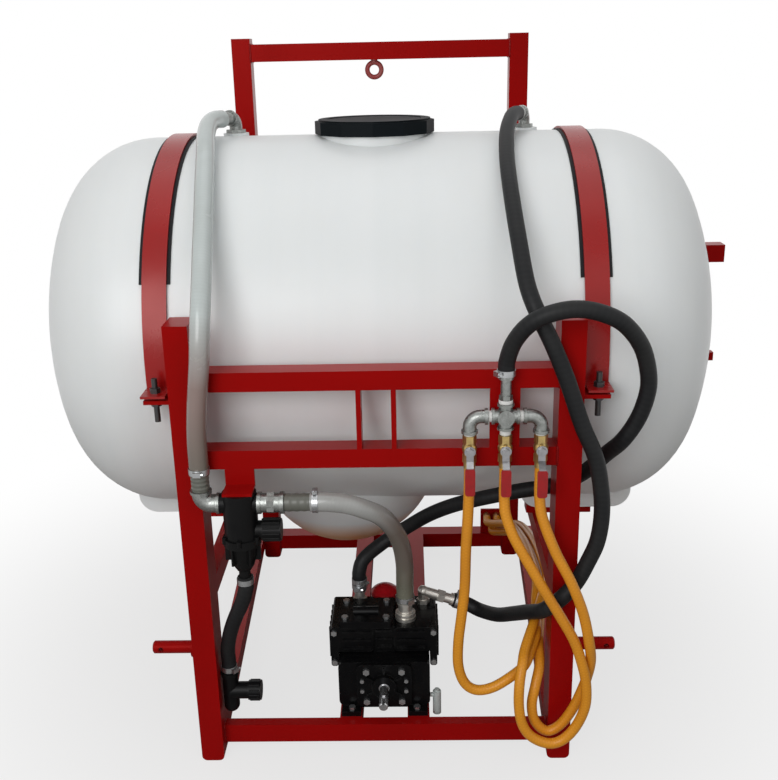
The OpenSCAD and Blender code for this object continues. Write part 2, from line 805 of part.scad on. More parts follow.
module ribbed_cap(p, d, r, l, bore, depth) {
    along(p, d) difference() {
        union() {
            cylinder(r = r, h = l);
            for (a = [0 : 30 : 330]) rotate([0, 0, a]) translate([r, 0, 3]) cylinder(r = 1.8, h = l - 6);
        }
        translate([0, 0, -1]) cylinder(r = bore, h = depth + 1);
    }
}

module filter_cap() {
    color(black) ribbed_cap([filter_x + filter_r + 5 + slip_gap, line_y, branch_z], [1, 0, 0], 23, 40,
        16 + slip_gap, 22);
}

module filter_outlet() {
    from = filter_x + filter_r;
    color(steel) {
        rod([from, line_y, port_z], [1, 0, 0], 20, socket_end - from);
        rod([from, line_y, port_z], [1, 0, 0], 23, 7);
        rod([socket_end - 8, line_y, port_z], [1, 0, 0], 23, 8);
        hex([from + 20, line_y, port_z], [1, 0, 0], 23, 14);
    }
}

module suction_hose_lower() {
    color(grey) hose(suction_lower_route, suction_d);
}

module drain_hose() {
    color(black) hose(drain_route, drain_d);
}

module drain_elbow() {
    color(black) {
        rod([drain_x, drain_y, drain_low], [0, 0, 1], drain_r - 2, drain_neck - drain_low);
        translate([drain_x, drain_y, drain_low]) sphere(drain_r - 2);
        rod([drain_x, drain_y, drain_neck - 10], [0, 0, 1], drain_r, 10);
        rod([drain_x, drain_y, drain_out_z], [1, 0, 0], 16, 62);
        rod([drain_x, drain_y, drain_out_z], [1, 0, 0], 19, 40);
    }
}

module drain_cap() {
    color(black) ribbed_cap([drain_x + 40 + slip_gap, drain_y, drain_out_z], [1, 0, 0], 22, 28,
        16 + slip_gap, 23);
}

// Pump
module pump_crankcase() {
    color(black) difference() {
        union() {
            slab_y(pump_y, crank_back)
                soft_rect([-crank_half, floor_top + 12], [crank_half, crank_top], 14);
            for (y = [pump_y - 24, crank_back - 26])
                both_sides() box([pump_foot_x - 20, y, floor_top],
                    [pump_foot_x + 24, y + 50, floor_top + 12]);
            box([-head_in, head_front + 6, crank_top - 1], [head_in, head_back - 6, head_top]);
            for (z = [head_low + 10, head_low + 31, head_low + 52])
                box([-18, head_front + 2, z - 2.5], [18, head_front + 7, z + 2.5]);
            box([-60, pump_y + 4, floor_top + 4], [60, crank_back - 4, floor_top + 20]);
            for (x = [-56, -28, 0, 28, 56])
                box([x - 3, crank_back, floor_top + 30], [x + 3, crank_back + 6, crank_top - 16]);
        }
        rod([0, pump_y - 1, shaft_z], [0, 1, 0], journal_r + run_gap, 165);
    }
}

module pump_front_cover() {
    color(black) difference() {
        union() {
            slab_y(pump_y - cover_t, pump_y) soft_rect([-62, floor_top + 18], [62, crank_top], 12);
            rod([0, pump_y - cover_t, shaft_z], [0, -1, 0], 28, boss_l);
            for (a = [30 : 60 : 330])
                translate([0, pump_y - cover_t, shaft_z]) rotate([0, a, 0]) box([24, -6, -2], [46, 0, 2]);
        }
        rod([0, pump_y + 1, shaft_z], [0, -1, 0], journal_r + run_gap, cover_t + boss_l + 2);
    }
}

module pump_shaft() {
    tip = pump_y - cover_t - boss_l - shaft_free;
    color(steel) difference() {
        union() {
            rod([0, tip + 2, shaft_z], [0, 1, 0], shaft_d / 2, shaft_free);
            rod([0, tip + shaft_free - 1, shaft_z], [0, 1, 0], journal_r, pump_y + 161 - tip - shaft_free);
            along([0, tip, shaft_z], [0, 1, 0]) cylinder(r1 = shaft_d / 2 - 2, r2 = shaft_d / 2, h = 2);
        }
        box([-3, tip - 1, shaft_z + shaft_d / 2 - 3.5], [3, tip + 30, shaft_z + shaft_d]);
    }
}

module pump_diaphragms() {
    color([0.2, 0.2, 0.2]) both_sides() rod([58, pump_y + 95, crank_top], [0, 0, 1], 24, diaphragm_t);
}

module pump_heads() {
    color(black) both_sides() {
        slab_y(head_front, head_back) {
            soft_rect([head_in, head_low], [head_out, head_top], 8);
            soft_rect([crank_half + 1.5, head_low - 38], [head_out, head_top], 6);
        }
        for (z = [head_low + 10, head_low + 31, head_low + 52])
            box([30, head_front - 4, z - 2.5], [94, head_front, z + 2.5]);
        for (y = [head_front + 22 : 24 : head_back - 20])
            box([head_out, y - 3, head_low - 24], [head_out + 4, y + 3, head_top - 10]);
    }
}

module pump_top_block() {
    color(black) {
        translate([0, 0, head_top]) linear_extrude(block_top - head_top)
            soft_rect([-102, head_front - 4], [20, pump_y + 138], 8);
        rod([-70, pump_y + 83, block_top - 2], [1, 0, 0], 12, 58);
    }
}

module pump_air_chamber() {
    y = head_back + 35;
    color(red) {
        rod([0, y, crank_top], [0, 0, 1], 34, 62);
        translate([0, y, crank_top + 62]) intersection() {
            translate([0, 0, -26]) sphere(42.8);
            cylinder(r = 34, h = 40);
        }
    }
}

module pump_fittings() {
    d = unit(return_dir);
    color(steel) {
        rod([inlet_x, inlet_y, head_top], [0, 0, 1], 24, 7);
        rod([inlet_x, inlet_y, head_top], [0, 0, 1], 20, 20);
        rod([inlet_x, inlet_y, head_top + 11], [0, 0, 1], 23, 6);
        rod([inlet_x, inlet_y, head_top], [0, 0, 1], 16, inlet_end - head_top);
        rod([inlet_x, inlet_y, inlet_end - 5], [0, 0, 1], 19, 5);
        hex([outlet_x, outlet_y, head_top], [0, 0, 1], 17, 12);
        rod([outlet_x, outlet_y, head_top], [0, 0, 1], 12, outlet_top - head_top);
        rod([outlet_x, outlet_y, outlet_top - 5], [0, 0, 1], 15, 5);
        hex([return_x, return_y, head_top], [0, 0, 1], 16, 10);
        rod([return_x, return_y, head_top], [0, 0, 1], 12, return_z - head_top);
        translate([return_x, return_y, return_z]) sphere(13);
        rod([return_x, return_y, return_z], d, 12, return_l);
        hex([return_x, return_y, return_z] + 36 * d, d, 16, 16);
        rod([return_x, return_y, return_z] + (return_l - 6) * d, d, 15, 6);
    }
}

module pump_oil_cup() {
    y = pump_y + 14;
    color(grey) {
        rod([crank_half + 16, y, floor_top - 18], [0, 0, 1], 9.5, 58);
        rod([crank_half + 16, y, floor_top + 40], [0, 0, 1], 6, 5);
        rod([crank_half, y, floor_top + 30], [1, 0, 0], 5, 16);
    }
}

module pump_bolts() {
    color(steel) {
        for (x = [-40, 40], z = [shaft_z - 41, shaft_z + 37])
            hex([x, pump_y - cover_t, z], [0, -1, 0], 8, 7);
        for (x = [-50, 50], z = [shaft_z - 14, shaft_z + 12])
            hex([x, pump_y - cover_t, z], [0, -1, 0], 5, 5);
        both_sides() {
            for (z = [head_low - 26, head_top - 11])
                hex([head_out - 8.5, head_front, z], [0, -1, 0], 7, 7);
            for (y = [pump_y - 13, crank_back + 14])
                hex([pump_foot_x, y, floor_top + 12], [0, 0, 1], 8, 7);
        }
        for (x = [-88, 6], y = [head_front + 12, pump_y + 122])
            hex([x, y, block_top], [0, 0, 1], 8, 6);
    }
}

// Manifold and section valves
module manifold_cross() {
    c = [manifold_x, manifold_y, manifold_z];
    color(steel) {
        rod(c - [0, 0, 27], [0, 0, 1], fitting_r, 54);
        rod(c - [27, 0, 0], [1, 0, 0], fitting_r, 54);
        rod(c + [0, front_y - 8 - manifold_y, 0], [0, -1, 0], bead_r, 34);
        for (d = [[1, 0, 0], [-1, 0, 0], [0, 0, 1], [0, 0, -1]])
            rod(c + 22 * d, d, bead_r, 5);
        rod(c - [0, 0, manifold_z - valve_top], [0, 0, 1], pipe_r, 20);
    }
}

module manifold_elbow() {
    x = manifold_x + valve_gap;
    rod([manifold_x + 27, manifold_y, manifold_z], [1, 0, 0], pipe_r, 12);
    rod([manifold_x + 35, manifold_y, manifold_z], [1, 0, 0], bead_r, 6);
    rod([manifold_x + 35, manifold_y, manifold_z], [1, 0, 0], fitting_r, valve_gap - bend_r - 35);
    translate([x - bend_r, manifold_y, manifold_z - bend_r]) rotate([90, 0, 0])
        rotate_extrude(angle = 90) translate([bend_r, 0]) circle(fitting_r);
    rod([x, manifold_y, valve_top + 5], [0, 0, 1], fitting_r, manifold_z - bend_r - valve_top - 5);
    rod([x, manifold_y, valve_top + 5], [0, 0, 1], bead_r, 6);
    rod([x, manifold_y, valve_top], [0, 0, 1], pipe_r, 6);
}

module manifold_fittings() {
    color(steel) {
        manifold_elbow();
        translate([2 * manifold_x, 0, 0]) mirror([1, 0, 0]) manifold_elbow();
        rod([manifold_x, manifold_y, manifold_z + 27], [0, 0, 1], pipe_r,
            inlet_tail_top - manifold_z - 27);
        rod([manifold_x, manifold_y, manifold_z + 27], [0, 0, 1], fitting_r, 8);
        hex([manifold_x, manifold_y, manifold_z + 35], [0, 0, 1], fitting_r, 9);
        rod([manifold_x, manifold_y, inlet_tail_top - 6], [0, 0, 1], 15, 6);
    }
}

module valve_body(x) {
    difference() {
        union() {
            hex([x, manifold_y, valve_top - 16], [0, 0, 1], valve_r + 1.5, 16);
            hex([x, manifold_y, valve_low], [0, 0, 1], valve_r + 1.5, 17);
            rod([x, manifold_y, valve_low], [0, 0, 1], valve_r, valve_top - valve_low);
            translate([x, manifold_y, stem_z]) sphere(valve_r + 2.5);
            rod([x, manifold_y, stem_z], [0, -1, 0], bonnet_r, manifold_y - bonnet_y);
        }
        rod([x, bonnet_y - 1, stem_z], [0, 1, 0], stem_r + run_gap, 15);
    }
}

module valve_bodies() {
    color(brass) for (k = [-1, 0, 1])
        valve_body(manifold_x + k * valve_gap);
}

// Cranked lever: a flat foot under the nut, a joggle outward and a sleeved grip.
// Each lever stands a little further out than its left neighbour, so that it can swing past it.
module lever(k) {
    x = manifold_x + k * valve_gap;
    y = bonnet_y - 0.3;
    grip_y = y - 9 - (k + 1) * grip_step;
    color(red) {
        rod([x, y, stem_z], [0, 1, 0], stem_r, 13);
        rod([x, y, stem_z], [0, -1, 0], 11, 3);
        hex([x, y - 3, stem_z], [0, -1, 0], 8, 5.5);
        slab_x(x - 7, x + 7) polygon([
            [y, stem_z], [y, stem_z - 19], [grip_y + 1.5, stem_z - 30],
            [grip_y + 1.5, stem_z - lever_l + 8],
            [grip_y - 1.5, stem_z - lever_l + 8], [grip_y - 1.5, stem_z - 31.4],
            [y - 3, stem_z - 20.4], [y - 3, stem_z]
        ]);
        slab_y(grip_y - grip_t / 2, grip_y + grip_t / 2)
            soft_rect([x - 10, stem_z - lever_l], [x + 10, stem_z - 33], 6);
    }
}

module lever_left() {
    lever(-1);
}

module lever_middle() {
    lever(0);
}

module lever_right() {
    lever(1);
}

// Hose tails under the valves and the couplings on the rear plate
module brass_tails() {
    color(brass) {
        for (k = [-1, 0, 1]) {
            rod([manifold_x + k * valve_gap, manifold_y, tail_low], [0, 0, 1], spray_d / 2 + 1,
                valve_low - tail_low);
        }
        for (c = couplings) {
            hex([c.x, plate_y - coupling_l, c.y], [0, 1, 0], spray_d / 2 + 1, coupling_l);
            rod([c.x, plate_y - 1, c.y], [0, 1, 0], 7, bracket_t + 20);
            hex([c.x, plate_y + bracket_t, c.y], [0, 1, 0], 11, 6);
        }
    }
}

module return_hose() {
    color(black) hose(return_route, pressure_d);
}

module pressure_hose() {
    color(black) hose(pressure_route, pressure_d);
}

module spray_hose_left() {
    color(yellow) hose(spray_left_route, spray_d);
}

module spray_hose_middle() {
    color(yellow) hose(spray_middle_route, spray_d);
}

module spray_hose_right() {
    color(yellow) hose(spray_right_route, spray_d);
}

module hose_clamps() {
    color(steel) {
        clamp([elbow_x, line_y, suction_end + 4], [0, 0, 1], suction_d, -90);
        clamp([outlet_end + 4, line_y, port_z], [1, 0, 0], suction_d, 180);
        clamp([inlet_x, inlet_y, inlet_end + 3], [0, 0, 1], suction_d, -60);
        clamp([outlet_x, outlet_y, outlet_top + 4], [0, 0, 1], pressure_d, -100);
        clamp([outlet_x, outlet_y, outlet_top + 18], [0, 0, 1], pressure_d, -60);
        clamp([manifold_x, manifold_y, inlet_tail_top + 1], [0, 0, 1], pressure_d, -150);
        clamp([return_x, return_y, return_z] + (return_l + 4) * unit(return_dir), return_dir,
            pressure_d, 180);
        clamp([drain_x, drain_y, drain_neck + 4], [0, 0, 1], drain_d, -40);
        clamp([filter_x, line_y, drain_top - 4], [0, 0, -1], drain_d, 90);
    }
}

front_post_left();
front_post_right();
rear_post_left();
rear_post_right();
front_upper_bar();
front_lower_bar();
front_bottom_bar();
rear_bottom_bar();
arch_bar();
floor_rails();
tank_cradles();
rear_rails();
top_link_plates();
frame_brackets();
hitch_pins();
lifting_eye();
post_ends();
tank();
lid();
lid_seal();
tank_fittings();
tank_straps();
strap_pads();
strap_bolts();
suction_hose_upper();
suction_elbow();
hose_tails();
filter_head();
filter_bowl();
filter_screen();
filter_cap();
filter_outlet();
suction_hose_lower();
drain_hose();
drain_elbow();
drain_cap();
pump_crankcase();
pump_front_cover();
pump_shaft();
pump_diaphragms();
pump_heads();
pump_top_block();
pump_air_chamber();
pump_fittings();
pump_oil_cup();
pump_bolts();
manifold_cross();
manifold_fittings();
valve_bodies();
lever_left();
lever_middle();
lever_right();
brass_tails();
return_hose();
pressure_hose();
spray_hose_left();
spray_hose_middle();
spray_hose_right();
hose_clamps();
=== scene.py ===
# %% [markdown]
# # A mounted field sprayer
# The exact shapes come from the imported model: a red tube frame, a white tank under two straps, a suction
# filter, a pump and three section valves. Blender adds what drawings don't hold: soft hoses, paint, plastic,
# rubber, thread tape and light. The imported model is loaded first.

# %% Load the imported model
import json
import math
import bpy
from mathutils import Matrix, Vector


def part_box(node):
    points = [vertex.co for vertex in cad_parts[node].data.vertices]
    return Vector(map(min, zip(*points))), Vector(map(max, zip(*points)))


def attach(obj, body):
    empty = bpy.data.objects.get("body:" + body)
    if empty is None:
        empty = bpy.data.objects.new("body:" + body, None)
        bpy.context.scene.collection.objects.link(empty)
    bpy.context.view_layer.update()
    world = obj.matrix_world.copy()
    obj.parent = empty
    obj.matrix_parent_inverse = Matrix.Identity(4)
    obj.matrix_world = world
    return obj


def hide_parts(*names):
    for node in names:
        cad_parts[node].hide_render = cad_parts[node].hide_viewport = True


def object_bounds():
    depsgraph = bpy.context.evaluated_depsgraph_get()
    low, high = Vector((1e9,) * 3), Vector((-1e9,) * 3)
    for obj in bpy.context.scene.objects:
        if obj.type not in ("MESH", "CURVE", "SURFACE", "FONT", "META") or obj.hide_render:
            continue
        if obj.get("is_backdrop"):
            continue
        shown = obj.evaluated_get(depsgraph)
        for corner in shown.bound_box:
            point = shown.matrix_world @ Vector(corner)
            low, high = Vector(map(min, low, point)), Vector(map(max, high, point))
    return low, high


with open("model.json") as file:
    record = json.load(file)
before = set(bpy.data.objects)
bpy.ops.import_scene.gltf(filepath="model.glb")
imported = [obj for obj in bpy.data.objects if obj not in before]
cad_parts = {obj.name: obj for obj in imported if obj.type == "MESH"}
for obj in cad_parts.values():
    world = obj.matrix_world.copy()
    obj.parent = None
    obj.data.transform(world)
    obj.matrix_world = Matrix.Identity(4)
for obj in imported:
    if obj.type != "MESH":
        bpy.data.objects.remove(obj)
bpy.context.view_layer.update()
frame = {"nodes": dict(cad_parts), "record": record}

# %% [markdown]
# ## Camera
# The photograph was taken from the linkage side, a little above the tank, looking down about nineteen
# degrees. A camera could be turned by three angles. Here its matrix is built from its right, up and backward
# directions, which are easier to check. The picture is 778 by 780 pixels, so the long side is its height, and
# a focal length in pixels becomes millimetres by the ratio of the sensor to that side.

# %% Camera
YAW, PITCH, ROLL = (math.radians(a) for a in (-1.291, 18.617, -1.253))
CAMERA_PLACE = (0.0693, -2.385, 1.5102)
FOCAL_PIXELS, LONG_SIDE_PIXELS, SENSOR_MM = 1005.2, 780, 36
FARTHEST_SEEN = 60
ahead = Vector((math.sin(YAW) * math.cos(PITCH), math.cos(YAW) * math.cos(PITCH), -math.sin(PITCH)))
level = Vector((math.cos(YAW), -math.sin(YAW), 0))
over = level.cross(ahead)
right = level * math.cos(ROLL) + over * math.sin(ROLL)
up = over * math.cos(ROLL) - level * math.sin(ROLL)
lens = bpy.data.cameras.new("photo_camera")
lens.lens = FOCAL_PIXELS * SENSOR_MM / LONG_SIDE_PIXELS
lens.clip_end = FARTHEST_SEEN
camera = bpy.data.objects.new("photo_camera", lens)
facing = Matrix((right, up, -ahead)).transposed().to_4x4()
camera.matrix_world = Matrix.Translation(CAMERA_PLACE) @ facing
bpy.context.scene.collection.objects.link(camera)
bpy.context.scene.camera = camera
print("focal length", round(lens.lens, 1), "mm")

# %% [markdown]
# ## Hoses
# Each hose is a fixed length of tube that hangs between two fittings. Its line is a smooth curve through
# listed points, the same ones that the model uses. A curve with a round bevel would give the tube too; here a
# Geometry Nodes tree sweeps a circle along the line, because it can leave two attributes on the surface for
# the materials: run, the distance along the hose, and ring, the place on its circle. With those, a spiral or
# a braid follows the hose round every bend.

# %% Hose routes, in metres
ROUTES = {
    "suction_hose_upper": (0.040, [
        (-.360, .024, 1.369), (-.371, -.0055, 1.369), (-.377, -.050, 1.361), (-.372, -.120, 1.341),
        (-.362, -.190, 1.313), (-.351, -.285, 1.259), (-.343, -.360, 1.203), (-.338, -.425, 1.141),
        (-.333, -.490, 1.075), (-.334, -.526, 1.010), (-.338, -.534, .950), (-.346, -.534, .890),
        (-.353, -.531, .835), (-.357, -.529, .785), (-.358, -.528, .740), (-.358, -.528, .710)]),
    "suction_hose_lower": (0.040, [
        (-.137, -.528, .647), (-.105, -.528, .647), (-.065, -.526, .641), (-.032, -.515, .625),
        (.003, -.488, .595), (.028, -.448, .545), (.044, -.405, .483), (.050, -.370, .420),
        (.050, -.352, .365), (.050, -.348, .335), (.050, -.348, .311)]),
    "drain_hose": (0.032, [
        (-.281, -.528, .480), (-.281, -.528, .466), (-.281, -.528, .452), (-.292, -.521, .415),
        (-.312, -.506, .370), (-.330, -.489, .320), (-.341, -.474, .273), (-.3426, -.4685, .237),
        (-.3426, -.4685, .223), (-.3426, -.4685, .210)]),
    "return_hose": (0.033, [
        (.163, -.278, .2724), (.181, -.278, .2662), (.199, -.279, .260), (.228, -.296, .253),
        (.262, -.345, .271), (.293, -.405, .310), (.317, -.460, .347), (.341, -.512, .381),
        (.373, -.531, .417), (.406, -.532, .458), (.430, -.532, .509), (.446, -.535, .557),
        (.452, -.535, .617), (.447, -.535, .677), (.433, -.535, .742), (.404, -.535, .810),
        (.373, -.535, .899), (.341, -.534, .976), (.315, -.524, 1.029), (.296, -.490, 1.081),
        (.285, -.420, 1.159), (.279, -.330, 1.231), (.279, -.230, 1.289), (.288, -.120, 1.335),
        (.303, -.045, 1.361), (.315, -.0055, 1.369), (.326, .024, 1.369)]),
    "pressure_hose": (0.033, [
        (-.058, -.272, .300), (-.058, -.272, .323), (-.058, -.272, .347), (-.046, -.263, .376),
        (0, -.242, .407), (.058, -.245, .449), (.111, -.280, .498), (.166, -.325, .542),
        (.229, -.365, .577), (.304, -.388, .603), (.364, -.393, .615), (.417, -.398, .636),
        (.448, -.420, .670), (.472, -.452, .713), (.495, -.490, .757), (.518, -.507, .807),
        (.531, -.517, .859), (.531, -.524, .904), (.511, -.540, .967), (.470, -.562, 1.019),
        (.420, -.577, 1.046), (.370, -.582, 1.054), (.320, -.579, 1.042), (.288, -.566, 1.018),
        (.266, -.547, .981), (.256, -.534, .943), (.255, -.531, .925), (.255, -.531, .911)]),
    "spray_hose_left": (0.022, [
        (.1845, -.531, .720), (.1845, -.531, .690), (.182, -.533, .615), (.178, -.535, .538),
        (.176, -.535, .454), (.170, -.535, .389), (.163, -.535, .322), (.163, -.535, .263),
        (.176, -.535, .221), (.201, -.535, .202), (.236, -.533, .206), (.275, -.525, .226),
        (.308, -.505, .243), (.326, -.475, .265), (.341, -.440, .288), (.347, -.365, .309),
        (.358, -.290, .328), (.360, -.200, .322), (.357, -.020, .296), (.346, .180, .239),
        (.318, .330, .170), (.300, .410, .135), (.300, .440, .135)]),
    "spray_hose_middle": (0.022, [
        (.255, -.531, .720), (.255, -.531, .690), (.255, -.534, .651), (.258, -.541, .618),
        (.275, -.553, .572), (.308, -.563, .512), (.339, -.567, .456), (.371, -.568, .400),
        (.401, -.568, .343), (.420, -.568, .286), (.430, -.568, .239), (.431, -.568, .184),
        (.414, -.568, .133), (.387, -.568, .098), (.356, -.568, .088), (.320, -.567, .104),
        (.299, -.566, .135), (.291, -.563, .178), (.292, -.554, .227), (.300, -.532, .263),
        (.309, -.500, .281), (.336, -.440, .315), (.362, -.365, .333), (.383, -.290, .329),
        (.386, -.200, .322), (.383, -.020, .296), (.372, .180, .239), (.346, .330, .170),
        (.330, .410, .135), (.330, .440, .135)]),
    "spray_hose_right": (0.022, [
        (.3255, -.531, .720), (.3255, -.531, .690), (.326, -.535, .649), (.332, -.543, .611),
        (.357, -.558, .545), (.390, -.569, .480), (.416, -.573, .412), (.431, -.573, .345),
        (.441, -.552, .285), (.437, -.541, .237), (.428, -.537, .200), (.410, -.537, .153),
        (.385, -.536, .112), (.356, -.536, .096), (.330, -.536, .121), (.322, -.534, .163),
        (.331, -.522, .207), (.342, -.492, .237), (.346, -.440, .261), (.358, -.365, .281),
        (.370, -.290, .301), (.373, -.200, .297), (.370, -.020, .271), (.359, .180, .214),
        (.332, .330, .143), (.315, .410, .105), (.315, .440, .105)]),
}
print(len(ROUTES), "routes")

# %% Node helpers
def add(tree, kind, **values):
    """A node; lower-case values are its settings, capitalised ones its inputs."""
    made = tree.nodes.new(kind)
    for name, value in values.items():
        if name[0].isupper():
            made.inputs[name.replace("_", " ")].default_value = value
        else:
            setattr(made, name, value)
    return made


def wire(tree, *links):
    """Links; each is a node, its output, the next node and its input, by name or by number."""
    for source, output, target, entry in links:
        tree.links.new(source.outputs[output], target.inputs[entry])


def new_tree(kind, name, inputs, outputs):
    """A node group with named sockets; each socket is (kind, name, default)."""
    tree = bpy.data.node_groups.new(name, kind)
    keys = {}
    for way, sockets in (("INPUT", inputs), ("OUTPUT", outputs)):
        for sort, title, *default in sockets:
            made = tree.interface.new_socket(name=title, in_out=way, socket_type=sort)
            if default:
                made.default_value = default[0]
            keys[title] = made.identifier
    return tree, tree.nodes.new("NodeGroupInput"), tree.nodes.new("NodeGroupOutput"), keys


print("helpers ready")

# %% Hose tree
HOSE_SIDES = 28


def hose_tree():
    tree, start, end, keys = new_tree("GeometryNodeTree", "Hose", [
        ("NodeSocketGeometry", "Line"), ("NodeSocketFloat", "Radius", 0.01),
        ("NodeSocketInt", "Sides", HOSE_SIDES), ("NodeSocketMaterial", "Finish")],
        [("NodeSocketGeometry", "Tube")])
    line = add(tree, "GeometryNodeMeshToCurve")
    run = add(tree, "GeometryNodeStoreNamedAttribute", data_type="FLOAT", domain="POINT", Name="run")
    span = add(tree, "GeometryNodeSplineParameter")
    circle = add(tree, "GeometryNodeCurvePrimitiveCircle")
    ring = add(tree, "GeometryNodeStoreNamedAttribute", data_type="FLOAT_VECTOR", domain="POINT", Name="ring")
    place = add(tree, "GeometryNodeInputPosition")
    unit = add(tree, "ShaderNodeVectorMath", operation="NORMALIZE")
    sweep = add(tree, "GeometryNodeCurveToMesh", Fill_Caps=True)
    smooth = add(tree, "GeometryNodeSetShadeSmooth")
    real = add(tree, "GeometryNodeRealizeInstances")
    paint = add(tree, "GeometryNodeSetMaterial")
    wire(tree, (start, "Line", line, "Mesh"), (line, "Curve", run, "Geometry"), (span, "Length", run, "Value"),
         (start, "Sides", circle, "Resolution"), (start, "Radius", circle, "Radius"),
         (circle, "Curve", ring, "Geometry"), (place, "Position", unit, 0), (unit, "Vector", ring, "Value"),
         (run, "Geometry", sweep, "Curve"), (ring, "Geometry", sweep, "Profile Curve"),
         (sweep, "Mesh", smooth, "Geometry"), (smooth, "Geometry", real, "Geometry"),
         (real, "Geometry", paint, "Geometry"), (start, "Finish", paint, "Material"),
         (paint, "Geometry", end, "Tube"))
    return tree, keys


HOSE_TREE, HOSE_KEYS = hose_tree()
print("hose tree:", len(HOSE_TREE.nodes), "nodes")

# %% Smooth line and swept hose
def smooth_line(points, steps=6):
    """Catmull-Rom points through the given ones, the ends going straight on."""
    p = [Vector(q) for q in points]
    p = [2 * p[0] - p[1], *p, 2 * p[-1] - p[-2]]
    line = []
    for a, b, c, d in zip(p, p[1:], p[2:], p[3:]):
        for k in range(steps):
            t = k / steps
            line.append(0.5 * (2 * b + (c - a) * t + (2 * a - 5 * b + 4 * c - d) * t ** 2
                               + (3 * b - a - 3 * c + d) * t ** 3))
    return [*line, p[-2]]


def mesh_from_nodes(name, mesh, tree, values):
    """Runs a tree on a mesh and keeps the result as a plain mesh object."""
    seed = bpy.data.objects.new(name + "_seed", mesh)
    bpy.context.scene.collection.objects.link(seed)
    step = seed.modifiers.new("shape", "NODES")
    step.node_group = tree
    for key, value in values.items():
        step[key] = value
    graph = bpy.context.evaluated_depsgraph_get()
    made = bpy.data.meshes.new_from_object(seed.evaluated_get(graph), preserve_all_data_layers=True,
                                           depsgraph=graph)
    bpy.data.objects.remove(seed)
    piece = bpy.data.objects.new(name, made)
    bpy.context.scene.collection.objects.link(piece)
    return piece


def sweep_hose(name, radius, line, finish):
    path = bpy.data.meshes.new(name + "_line")
    path.from_pydata(line, [(i, i + 1) for i in range(len(line) - 1)], [])
    return mesh_from_nodes(name, path, HOSE_TREE, {
        HOSE_KEYS["Radius"]: radius, HOSE_KEYS["Sides"]: HOSE_SIDES, HOSE_KEYS["Finish"]: finish})


print("hose maker ready")

# %% [markdown]
# ## Shared surface effects
# Real surfaces are never one colour. Three effects come back on almost every piece: worn edges, where paint
# or plating thins; grime, soft patches of dust and stain; and grain, the fine unevenness that breaks up a
# highlight. They could be drawn anew in every material. As shader node groups they are built once, and each
# material gives them its own numbers.

# %% Worn edges
def edge_group():
    """An edge is where a rounded normal leaves the true one; noise keeps patches of it."""
    tree, start, end, _ = new_tree("ShaderNodeTree", "Worn edges", [
        ("NodeSocketFloat", "Radius", 0.003), ("NodeSocketFloat", "Amount", 0.5)],
        [("NodeSocketFloat", "Mask")])
    soft = add(tree, "ShaderNodeBevel", samples=4)
    hard = add(tree, "ShaderNodeNewGeometry")
    dot = add(tree, "ShaderNodeVectorMath", operation="DOT_PRODUCT")
    bend = add(tree, "ShaderNodeMapRange", From_Min=0.995, From_Max=0.80)
    place = add(tree, "ShaderNodeTexCoord")
    patch = add(tree, "ShaderNodeTexNoise", Scale=38.0, Detail=5.0, Roughness=0.65)
    keep = add(tree, "ShaderNodeMapRange", From_Min=0.45, From_Max=0.68)
    both = add(tree, "ShaderNodeMath", operation="MULTIPLY")
    much = add(tree, "ShaderNodeMath", operation="MULTIPLY", use_clamp=True)
    wire(tree, (start, "Radius", soft, "Radius"), (soft, "Normal", dot, 0), (hard, "Normal", dot, 1),
         (dot, "Value", bend, "Value"), (place, "Object", patch, "Vector"), (patch, "Fac", keep, "Value"),
         (bend, "Result", both, 0), (keep, "Result", both, 1), (both, "Value", much, 0),
         (start, "Amount", much, 1), (much, "Value", end, "Mask"))
    return tree


EDGES = edge_group()
print("made", EDGES.name)

# %% Grime and grain
def grime_group():
    tree, start, end, _ = new_tree("ShaderNodeTree", "Grime", [
        ("NodeSocketFloat", "Scale", 6.0), ("NodeSocketFloat", "Amount", 0.3)],
        [("NodeSocketFloat", "Mask")])
    place = add(tree, "ShaderNodeTexCoord")
    large = add(tree, "ShaderNodeTexNoise", Detail=6.0, Roughness=0.6, Distortion=0.4)
    patch = add(tree, "ShaderNodeMapRange", From_Min=0.42, From_Max=0.72)
    much = add(tree, "ShaderNodeMath", operation="MULTIPLY", use_clamp=True)
    wire(tree, (place, "Object", large, "Vector"), (start, "Scale", large, "Scale"),
         (large, "Fac", patch, "Value"), (patch, "Result", much, 0), (start, "Amount", much, 1),
         (much, "Value", end, "Mask"))
    return tree


def grain_group():
    tree, start, end, _ = new_tree("ShaderNodeTree", "Grain", [("NodeSocketFloat", "Scale", 400.0)],
                                   [("NodeSocketFloat", "Height")])
    place = add(tree, "ShaderNodeTexCoord")
    fine = add(tree, "ShaderNodeTexNoise", Detail=3.0, Roughness=0.6)
    wire(tree, (place, "Object", fine, "Vector"), (start, "Scale", fine, "Scale"),
         (fine, "Fac", end, "Height"))
    return tree


GRIME, GRAIN = grime_group(), grain_group()
print("made", GRIME.name, "and", GRAIN.name)

# %% Finish helpers
def use(tree, group, **values):
    return add(tree, "ShaderNodeGroup", node_tree=group, **values)


def blend_colour(tree, mask, first, second):
    """Colour one where the mask is 0 and colour two where it is 1; each is a socket or a colour."""
    mix = add(tree, "ShaderNodeMix", data_type="RGBA")
    tree.links.new(mask, mix.inputs["Factor"])
    for key, value in (("A_Color", first), ("B_Color", second)):
        socket = next(s for s in mix.inputs if s.identifier == key)
        if isinstance(value, tuple):
            socket.default_value = (*value, 1)
        else:
            tree.links.new(value, socket)
    return next(s for s in mix.outputs if s.identifier == "Result_Color")


